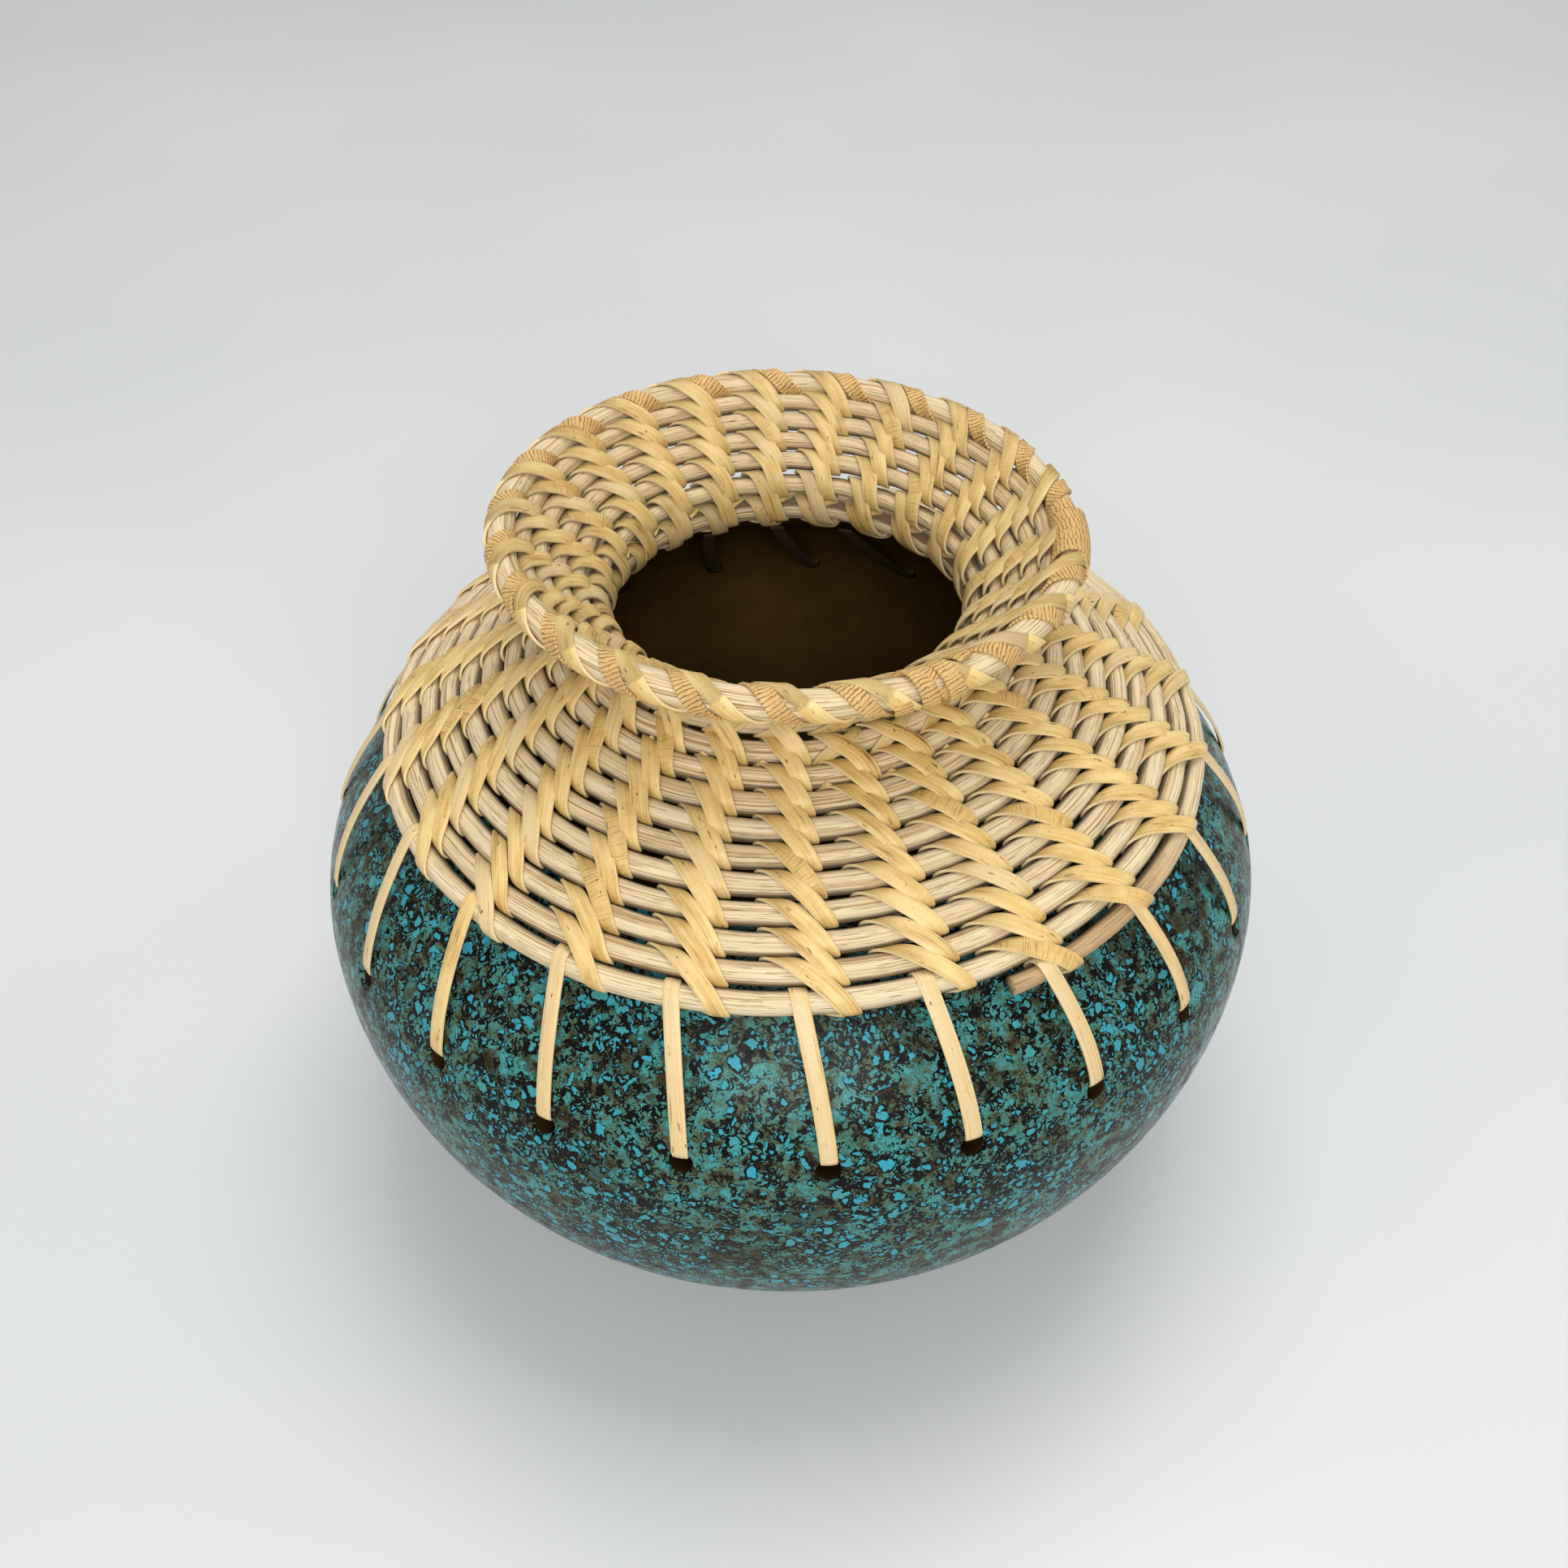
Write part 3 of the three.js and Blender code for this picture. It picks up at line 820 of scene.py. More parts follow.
@dataclass(frozen=True)
class CrackedCane:
    """Cane bent so sharply round the rim that its skin cracked in rust-brown lines across it."""

    straw: Colour = srgb(226, 190, 124)
    tan: Colour = srgb(204, 160, 98)
    rust: Colour = srgb(136, 84, 38)
    waver: Fibres = Fibres(0.9, 0.5, 2.0, 0.6)
    fine: Fibres = Fibres(0.05, 2.4, 3.0, 0.6)
    spacing: float = 0.75
    wavering: float = 1.5
    line: tuple[float, float] = (0.16, 0.05)
    cracked: Cover = Cover(0.36, 0.56, 0.85)
    grain_roughness: float = 0.3
    skin_roughness: float = 0.35
    relief: float = 0.18
    shine: float = 0.4

    def material(self) -> bpy.types.Material:
        """Makes the cracked cane's material.

        Returns:
            The material.
        """
        tree = ShaderTree("cracked_cane")
        along = tree.nodes.new("ShaderNodeSeparateXYZ")
        tree.feed(along.inputs["Vector"], tree.grain(1 / self.spacing, 0.0))
        waver, fine = tree.fibres(self.waver), tree.fibres(self.fine)
        phase = tree.plus(along.outputs["X"], tree.times(waver, self.wavering))
        saw = tree.math("ABSOLUTE", tree.minus(tree.math("FRACT", phase), 0.5))
        lines = tree.fade(saw, *self.line)
        colour = tree.mix(fine, self.straw, self.tan)
        colour = tree.mix(tree.times(lines, tree.shown(waver, self.cracked)), colour, self.rust)
        rough = tree.scaled(fine, self.grain_roughness, self.skin_roughness)
        return tree.finish(colour, rough, tree.minus(fine, lines), self.relief, self.shine)


@dataclass(frozen=True)
class PaleFloor:
    """Plain pale grey floor."""

    light: Colour = srgb(222, 223, 222)
    shade: Colour = srgb(214, 216, 217)
    cloud: Clouds = Clouds(0.004)
    steps: tuple[float, float] = (0.35, 0.65)
    roughness: tuple[float, float] = (2.0, -2.0)
    relief: float = 0.02
    shine: float = 0.2

    def material(self) -> bpy.types.Material:
        """Makes the floor's material.

        Returns:
            The material.
        """
        tree = ShaderTree("pale_floor")
        cloud = tree.clouds(self.cloud, tree.coordinates())
        colour = tree.ramp(cloud, self.steps, (self.shade, self.light))
        return tree.finish(colour, tree.fade(cloud, *self.roughness), cloud, self.relief, self.shine)


@dataclass
class Skin:
    """A mesh in the making: points in millimetres, faces, and what each point or corner holds."""

    points: np.ndarray
    faces: list[list[int]]
    chart: np.ndarray | None = None
    marks: dict[str, np.ndarray] = field(default_factory=dict)

    def joined(self, other: "Skin") -> "Skin":
        """Puts another skin beside this one, as one mesh.

        Args:
            other: The skin to add.

        Returns:
            Both as one.
        """
        shift = len(self.points)
        return Skin(
            np.concatenate([self.points, other.points]),
            self.faces + [[corner + shift for corner in face] for face in other.faces],
            np.concatenate([self.chart, other.chart]),
            {name: np.concatenate([values, other.marks[name]]) for name, values in self.marks.items()},
        )

    def piece(self, name: str, materials: Sequence[bpy.types.Material], slot: Slot) -> bpy.types.Object:
        """Makes the piece and lets it ride on the vase.

        Args:
            name: The piece's name.
            materials: Its materials.
            slot: Not used.

        Returns:
            The new object.
        """
        mesh = new_mesh(name, self.points, self.faces, materials)
        if self.chart is not None:
            layer = mesh.uv_layers.new(name=GRAIN_MAP)
            layer.data.foreach_set("uv", self.chart.astype(np.float32).ravel())
        for key, values in self.marks.items():
            layer = mesh.attributes.new(key, "FLOAT", "POINT")
            layer.data.foreach_set("value", values.astype(np.float32))
        mesh.polygons.foreach_set("use_smooth", [True] * len(mesh.polygons))
        made = placed(name, mesh)
        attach(made, BODY)
        log.info("%s: %d points", name, len(self.points))
        return made


def tube(rings: np.ndarray, around: np.ndarray, marks: dict[str, np.ndarray]) -> Skin:
    """Joins rings of points into a closed skin with flat ends.

    Args:
        rings: Points, by ring, side and axis.
        around: The distance round the section at each side and back at the first, for the grain.
        marks: Numbers for each ring, or for each ring and side.

    Returns:
        The skin.
    """
    count, sides, _ = rings.shape
    middle = rings.mean(axis=1)
    lengths = added_up(gaps_in(middle))
    edge = np.roll(rings, -1, axis=1) - rings
    turned = np.cross(rings - middle[:, None], edge).sum(axis=1)
    ahead = np.gradient(middle, axis=0)
    outwards = float((turned * ahead).sum()) > 0
    ring, side = np.meshgrid(np.arange(count - 1), np.arange(sides), indexing="ij")
    after = (side + 1) % sides
    corners = [
        (ring, side, side),
        (ring, after, side + 1),
        (ring + 1, after, side + 1),
        (ring + 1, side, side),
    ]
    if not outwards:
        corners.reverse()
    quads = np.stack([r * sides + s for r, s, _ in corners], axis=-1).reshape(-1, 4)
    chart = np.stack([np.stack([lengths[r], around[a]], axis=-1) for r, _, a in corners], axis=2)
    start = list(range(sides))
    end = [(count - 1) * sides + side for side in range(sides)]
    (start if outwards else end).reverse()
    caps = [np.stack([np.full(sides, lengths[i]), around[:-1]], axis=-1) for i in (0, -1)]
    spread = {}
    for name, values in marks.items():
        spread[name] = np.repeat(values, sides) if values.ndim == 1 else values.ravel()
    faces = quads.tolist() + [start, end]
    return Skin(rings.reshape(-1, 3), faces, np.concatenate([chart.reshape(-1, 2), *caps]), spread)


def stand(place: np.ndarray, azimuth: np.ndarray) -> np.ndarray:
    """Turns places in the half plane into points round the axis.

    Args:
        place: Distance from the axis and height, in the last axis.
        azimuth: The angle round the axis, in degrees, for each place.

    Returns:
        The points.
    """
    turn = np.radians(azimuth)
    return np.stack([place[..., 0] * np.cos(turn), place[..., 0] * np.sin(turn), place[..., 1]], axis=-1)


@dataclass
class PotShape:
    """The pot's outline in its half plane."""

    radius: float = 100.0
    belly_height: float = 72.0
    foot_radius: float = 54.0
    heel_bevel: float = 2.0
    crown_radius: float = 42.0
    crown_height: float = 128.0
    crown_slope: float = 24.0
    belly_pull: float = 27.0
    crown_pull: float = 32.0
    wall: float = 7.0
    mouth_radius: float = 60.0
    lip_wall: float = 3.0
    hole_height: float = 85.0

    @property
    def crown_normal(self) -> np.ndarray:
        """The direction out of the shoulder's curve at its crown."""
        slope = math.radians(self.crown_slope)
        return np.array([math.sin(slope), math.cos(slope)])

    @property
    def lip_share(self) -> float:
        """The share of the shoulder's curve at which the pot ends."""
        radii = self.shoulder(FINE_SHARES)[0][:, 0]
        return float(np.interp(-self.mouth_radius, -radii, FINE_SHARES))

    @property
    def lip_normal(self) -> np.ndarray:
        """The direction out of the wall at the lip."""
        return self.shoulder(np.array(self.lip_share))[1]

    @property
    def lip_centre(self) -> np.ndarray:
        """The middle of the lip's round edge."""
        return self.shoulder(np.array(self.lip_share))[0] - self.lip_normal * self.lip_wall / 2

    def shoulder(self, share: np.ndarray) -> tuple[np.ndarray, np.ndarray]:
        """Follows the shoulder's curve from the belly, at 0, past the lip to the crown, at 1.

        Args:
            share: Shares of the shoulder's curve.

        Returns:
            The places there and the directions out of the wall.
        """
        slope = math.radians(self.crown_slope)
        pull = self.crown_pull * np.array([math.cos(slope), -math.sin(slope)])
        crown = np.array([self.crown_radius, self.crown_height])
        a = np.array([self.radius, self.belly_height])
        b = a + [0, self.belly_pull]
        c = crown + pull
        t = np.asarray(share, dtype=float)[..., None]
        place = (1 - t) ** 3 * a + 3 * (1 - t) ** 2 * t * b + 3 * (1 - t) * t**2 * c + t**3 * crown
        run = (1 - t) ** 2 * (b - a) + 2 * (1 - t) * t * (c - b) + t**2 * (crown - c)
        return place, -quarter_turn(unit(run))

    def share_at(self, height: float) -> float:
        """Finds the share of the shoulder's curve at a height."""
        return float(np.interp(height, self.shoulder(FINE_SHARES)[0][:, 1], FINE_SHARES))

    def outer_wall(self, steps: int) -> tuple[np.ndarray, np.ndarray, np.ndarray]:
        """Follows the outside from the heel to the lip.

        Args:
            steps: How many steps each half takes.

        Returns:
            The places, the directions out of the wall, and how thick the wall is there.
        """
        depth = self.belly_height / math.sqrt(1 - (self.foot_radius / self.radius) ** 2)
        heel = math.asin((self.belly_height - self.heel_bevel) / depth)
        angle = heel * (1 - np.arange(steps) / steps)
        lower = np.stack([self.radius * np.cos(angle), self.belly_height - depth * np.sin(angle)], axis=-1)
        facing = unit(np.stack([depth * np.cos(angle), -self.radius * np.sin(angle)], axis=-1))
        share = np.linspace(0, 1, steps + 1)
        upper, upper_facing = self.shoulder(share * self.lip_share)
        thick = np.concatenate([np.full(steps, self.wall), self.wall + (self.lip_wall - self.wall) * share])
        return np.concatenate([lower, upper]), np.concatenate([facing, upper_facing]), thick


@dataclass
class Pot:
    """The stoneware pot with its ring of holes."""

    shape: PotShape
    columns: int = 23
    first_hole: float = 305.06
    hole_radius: float = 2.05
    bare_radius: float = 67.0
    hole_sides: int = 22
    segments: int = 276
    wall_steps: int = 64
    lip_steps: int = 12
    bevel_steps: int = 4
    throwing: float = 0.22
    throwing_waves: int = 2
    throwing_heights: tuple[float, float] = (2.0, 30.0)
    hole_rough: float = 0.07
    drill_depths: tuple[float, ...] = (6.0, 0.5, 0.05, -0.35, -0.8, -1.5, -4.0, -12.0)
    drill_flare: tuple[float, ...] = (1.9, 1.55, 1.34, 1.18, 1.07, 1.0, 0.97, 0.97)
    glazed_rows: int = 4
    sharp_angle: float = 40.0
    inside: BareClay = BareClay("bare_clay", srgb(106, 79, 37), srgb(82, 60, 27))
    # A darker copy of the bare clay, as painted shade in the holes and on the top under the collar.
    shaded_clay: BareClay = BareClay("shaded_bare_clay", srgb(58, 40, 18), srgb(28, 19, 9))

    def outline(self) -> tuple[np.ndarray, int, int]:
        """Draws the pot's whole section, from the middle of the foot to the middle of the floor.

        Returns:
            The places, how many of them are glazed, and how many come before the inside.
        """
        shape = self.shape
        places, facing, thick = shape.outer_wall(self.wall_steps)
        inner = (places - thick[:, None] * facing)[::-1]
        inner = inner[inner[:, 1] > shape.wall + 1]
        start = math.atan2(shape.lip_normal[1], shape.lip_normal[0])
        angle = start + math.pi * np.arange(1, self.lip_steps) / self.lip_steps
        lip = shape.lip_centre + shape.lip_wall / 2 * np.stack([np.cos(angle), np.sin(angle)], axis=-1)
        bevel = np.linspace(0, math.pi / 2, self.bevel_steps + 1)[:-1]
        heel = places[0] + shape.heel_bevel * np.stack([np.sin(bevel) - 1, -np.cos(bevel)], axis=-1)
        foot = np.array([[0, 0], [heel[0, 0] / 2, 0]])
        floor_edge = inner[-1] - [shape.wall / 2, 0]
        floor = np.array([[floor_edge[0], shape.wall], [floor_edge[0] / 2, shape.wall], [0, shape.wall]])
        section = np.concatenate([foot, heel, places, lip, inner, floor])
        glazed = int(np.sum((places[:, 0] > self.bare_radius) | (places[:, 1] < shape.belly_height)))
        return section, len(foot) + len(heel) + glazed, len(section) - len(floor) - len(inner)

    def shell(self) -> tuple[Skin, list[int]]:
        """Turns the section round the axis, a little unevenly as on a wheel.

        Returns:
            The skin and each face's material index.
        """
        section, glazed, outside = self.outline()
        azimuth = np.arange(self.segments) * 360 / self.segments
        rings = stand(section[1:-1, None].repeat(self.segments, axis=1), azimuth[None])
        waver = Unevenness(Seed.THROWING, self.throwing, 360).along(azimuth * self.throwing_waves)
        raised = ease(rings[..., 2], *self.throwing_heights)[..., None]
        rings[..., :2] *= 1 + raised * waver[None, :, None] / self.shape.radius
        count = len(rings)
        points = np.concatenate([[[0, 0, section[0, 1]]], rings.reshape(-1, 3), [[0, 0, section[-1, 1]]]])
        faces: list[list[int]] = []
        finish: list[int] = []
        for ring in range(count - 1):
            for side in range(self.segments):
                after = (side + 1) % self.segments
                low = 1 + ring * self.segments
                high = low + self.segments
                faces.append([low + side, low + after, high + after, high + side])
            # The top under the collar and the lip take the darker clay as painted shade; the inside takes
            # the plain clay.
            bare = PotFinish.SHADED_BARE if ring < outside else PotFinish.INSIDE
            finish += [PotFinish.GLAZE if ring < glazed else bare] * self.segments
        last = 1 + (count - 1) * self.segments
        for side in range(self.segments):
            after = (side + 1) % self.segments
            faces.append([0, 1 + after, 1 + side])
            faces.append([len(points) - 1, last + side, last + after])
            finish += [PotFinish.GLAZE, PotFinish.INSIDE]
        return Skin(points, faces), finish

    def drills(self, materials: Sequence[bpy.types.Material]) -> bpy.types.Object:
        """Makes the tool that cuts all holes: rough rods, wider where the glaze ran over their edge.

        Args:
            materials: The materials that the holes get, at their edge and further in.

        Returns:
            The cutting object.
        """
        share = self.shape.share_at(self.shape.hole_height)
        place, facing = (values[0] for values in self.shape.shoulder(np.array([share])))
        rng = np.random.default_rng(Seed.HOLES)
        depths, flare = np.array(self.drill_depths), np.array(self.drill_flare)
        whole: Skin | None = None
        for column in range(self.columns):
            azimuth = self.first_hole + column * 360 / self.columns
            out = stand(facing, np.array(azimuth))
            centre = stand(place, np.array(azimuth))
            side = np.array([-math.sin(math.radians(azimuth)), math.cos(math.radians(azimuth)), 0])
            up = np.cross(out, side)
            turn = np.arange(self.hole_sides) * 2 * math.pi / self.hole_sides
            seeds = [int(rng.integers(SEED_LIMIT)) for _ in depths]
            wave = [Unevenness(seed, self.hole_rough, 2 * math.pi).along(turn) for seed in seeds]
            rough = 1 + 0.5 * (np.array(wave) + wave[0])
            radius = self.hole_radius * flare[:, None] * rough
            spokes = np.cos(turn)[:, None] * side + np.sin(turn)[:, None] * up
            rings = centre + depths[:, None, None] * out + radius[..., None] * spokes
            rod = tube(rings, np.linspace(0, 1, self.hole_sides + 1), {})
            whole = rod if whole is None else whole.joined(rod)
        mesh = new_mesh("drills", whole.points, whole.faces, materials)
        inner = np.arange((len(depths) - 1) * self.hole_sides) >= self.glazed_rows * self.hole_sides
        finish = np.tile(np.append(inner, [0, 1]), self.columns).astype(np.int32)
        mesh.polygons.foreach_set("material_index", finish)
        return placed("drills", mesh)

    def sharpen(self, mesh: bpy.types.Mesh, least: float) -> None:
        """Marks the edges that shading must not round off.

        Args:
            mesh: The mesh to mark.
            least: The least angle of such an edge.
        """
        work = bmesh.new()
        work.from_mesh(mesh)
        for edge in work.edges:
            edge.smooth = edge.calc_face_angle(0.0) < math.radians(least)
        for face in work.faces:
            face.smooth = True
        work.to_mesh(mesh)
        work.free()

    def build(self) -> bpy.types.Object:
        """Makes the pot, cuts its holes and dresses it.

        Returns:
            The pot.
        """
        finishes = [SpeckledGlaze().material(), self.inside.material(), self.shaded_clay.material()]
        skin, finish = self.shell()
        pot = skin.piece("glazed_pot", finishes, Slot.STONEWARE)
        pot.data.polygons.foreach_set("material_index", finish)
        # The holes' deeper rings take the darker clay as painted shade.
        drills = self.drills([finishes[PotFinish.GLAZE], finishes[PotFinish.SHADED_BARE]])
        cut = pot.modifiers.new("holes", "BOOLEAN")
        cut.operation = "DIFFERENCE"
        cut.solver = "EXACT"
        cut.material_mode = "TRANSFER"
        cut.object = drills
        ready = pot.evaluated_get(bpy.context.evaluated_depsgraph_get())
        mesh = bpy.data.meshes.new_from_object(ready)
        pot.modifiers.clear()
        pot.data = mesh
        bpy.data.objects.remove(drills)
        self.sharpen(mesh, self.sharp_angle)
        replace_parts(pot, "pot")
        return pot


@dataclass
class CollarLine:
    """The line that the middle of the coil follows in its half plane.

    It runs up the shoulder and a little past the crown, bends round the throat and flares to the rim. A
    reach is the distance along it, counted from the crown and negative down the shoulder.
    """

    shape: PotShape
    standoff: float = 3.65
    overhang: float = 2.2
    bend: float = 7.0
    tight_bend: float = 5.875
    flare: float = 50.0
    neck: float = 60.0
    steps: int = 400

    def __post_init__(self) -> None:
        """Works out the line's places, directions and reaches."""
        shares = np.linspace(0, 1, self.steps + 1)
        wall, facing = self.shape.shoulder(shares)
        low = wall + self.standoff * facing
        gaps = gaps_in(low)
        low_reach = added_up(gaps) - gaps.sum()
        crown = self.shape.crown_normal
        centre = low[-1] + self.overhang * quarter_turn(crown) + self.bend * crown
        lean = math.radians(90 - self.shape.crown_slope)
        angle = np.linspace(0, lean + math.radians(self.flare), self.steps)
        cos, sin = np.cos(angle), np.sin(angle)
        bent = np.stack([crown[0] * cos + crown[1] * sin, crown[1] * cos - crown[0] * sin], axis=-1)
        throat = centre - self.bend * bent
        end = throat[-1] + self.neck * quarter_turn(bent[-1])
        end_reach = self.overhang + self.tight_bend * angle[-1] + self.neck
        self.places = np.concatenate([low, throat, [end]])
        self.facing = np.concatenate([facing, bent, [bent[-1]]])
        self.reaches = np.concatenate([low_reach, self.overhang + self.tight_bend * angle, [end_reach]])
        self.throat_reach = self.overhang + self.tight_bend * lean
        self.wall_reaches, self.wall_shares = low_reach, shares

    def at(self, reach: np.ndarray) -> tuple[np.ndarray, np.ndarray]:
        """Finds places on the line.

        Args:
            reach: The reaches.

        Returns:
            The places and the outward directions there.
        """
        place = read_off(reach, self.reaches, self.places)
        return place, unit(read_off(reach, self.reaches, self.facing))

    def off(self, reach: np.ndarray, height: np.ndarray) -> np.ndarray:
        """Finds places beside the line.

        Args:
            reach: The reaches.
            height: How far outwards from the line each place lies.

        Returns:
            The places.
        """
        place, facing = self.at(reach)
        return place + np.asarray(height)[..., None] * facing

    def along(self, way: np.ndarray) -> np.ndarray:
        """Turns reaches and heights into places in the half plane."""
        return self.off(way[:, 0], way[:, 1])

    def wall_share(self, reach: float) -> float:
        """Finds the share of the shoulder's curve below a reach."""
        return float(np.interp(reach, self.wall_reaches, self.wall_shares))


@dataclass
class Row:
    """One turn of the coil where a column of lacing crosses it."""

    reach: float
    radius: float


@dataclass
class CoilPlan:
    """Where the turns of rattan lie, a little less even than drawn.

    The neck's turns lie level round the back and climb at the front. The last one is squeezed under the
    hoop.
    """

    shoulder_core: float = 4.5
    neck_pitch: float = 4.27
    slot: float = 1.1
    collar_turns: float = 9.2
    shoulder_turns: int = 11
    coil_turns: int = 15
    last_turn: float = 0.95
    last_row: float = 0.88
    cut_azimuth: float = 297.4
    columns: int = 23
    shoulder_radius: float = 2.22
    neck_radius: float = 1.9
    hoop_reach: float = 32.5
    hoop_radius: float = 2.47
    hoop_swell: float = 0.28
    tight: float = 0.12
    level_start: float = 0.132
    level_end: float = 0.715
    level_reaches: tuple[float, float] = (4.0, 10.0)
    sag: float = 1.2
    sag_azimuth: float = 268.0
    sag_reaches: tuple[float, float] = (-8.0, -44.0)
    pitch_easing: float = 0.5
    squeeze_turns: float = 0.1
    least_radius: float = 0.4

    @property
    def shoulder_pitch(self) -> float:
        """The distance between turns on the shoulder."""
        return self.shoulder_core * math.cos(math.pi / 6) + self.slot

    def hoop_size(self, azimuth: np.ndarray) -> np.ndarray:
        """Finds the hoop's radius, which is larger at the front.

        Args:
            azimuth: Where round the axis, in degrees.

        Returns:
            The radii.
        """
        return self.hoop_radius - self.hoop_swell * np.sin(np.radians(azimuth))

    def unlevel(self, turns: np.ndarray) -> np.ndarray:
        """Finds how far the neck's turns are off an even climb.

        Args:
            turns: Turns from the cut end.

        Returns:
            The offsets, as shares of the pitch.
        """
        part = np.mod(turns - self.level_start, 1.0)
        flat = self.level_end - self.level_start
        return flat / 2 - part + ease(part, flat, 1.0)

    def reach(self, turns: np.ndarray) -> np.ndarray:
        """Finds how far along the collar line the coil has come.

        Args:
            turns: Turns from the cut end.

        Returns:
            The reaches.
        """
        easing = self.shoulder_turns + self.pitch_easing
        low = np.minimum(turns, easing) - self.collar_turns
        even = self.shoulder_pitch * low + self.neck_pitch * np.maximum(turns - easing, 0)
        level = self.neck_pitch * self.unlevel(turns) * ease(even, *self.level_reaches)
        turned = np.radians(self.cut_azimuth + 360 * turns - self.sag_azimuth)
        return even + level - self.sag * np.cos(turned) * ease(even, *self.sag_reaches)

    def core(self, turns: np.ndarray) -> tuple[np.ndarray, np.ndarray]:
        """Finds the middle and radius of the core.

        Args:
            turns: Turns from the cut end.

        Returns:
            The reaches and the radii.
        """
        radius = np.where(turns <= self.shoulder_turns, self.shoulder_radius, self.neck_radius)
        below = self.reach(turns - 1) + self.neck_radius + self.tight
        above = self.hoop_reach - self.hoop_size(self.cut_azimuth + 360 * turns) - self.tight
        last = ease(turns, float(self.coil_turns), self.coil_turns + self.squeeze_turns)
        reach = self.reach(turns) * (1 - last) + (below + above) / 2 * last
        room = np.maximum((above - below) / 2, self.least_radius)
        return reach, np.where(turns > self.coil_turns, np.minimum(radius, room), radius)

    def azimuth(self, column: float) -> float:
        """Finds a column's middle, round the axis."""
        return self.cut_azimuth + (column + 0.5) * 360 / self.columns

    def rows(self, azimuth: float) -> list[Row]:
        """Lists the turns at a place round the axis, from the collar's edge to the hoop.

        Args:
            azimuth: The place, within half a column of the cut end or up to a turn after it.

        Returns:
            The rows.
        """
        part = (azimuth - self.cut_azimuth) / 360
        turns = np.arange(self.coil_turns) + part
        if part < self.last_row:
            turns = np.append(turns, self.coil_turns + part)
        rows = [Row(float(reach), float(radius)) for reach, radius in zip(*self.core(turns))]
        rows.append(Row(self.hoop_reach, float(self.hoop_size(np.array(azimuth)))))
        return rows


@dataclass
class NeckTilt:
    """The neck leans a little to one side, as woven by hand."""

    lean: float = -0.029
    start: float = 132.0
    end: float = 156.0

    def apply(self, points: np.ndarray) -> np.ndarray:
        """Leans points above the throat.

        Args:
            points: Points in millimetres.

        Returns:
            The leaning points.
        """
        leaning = points.copy()
        leaning[..., 2] += self.lean * points[..., 0] * ease(points[..., 2], self.start, self.end)
        return leaning


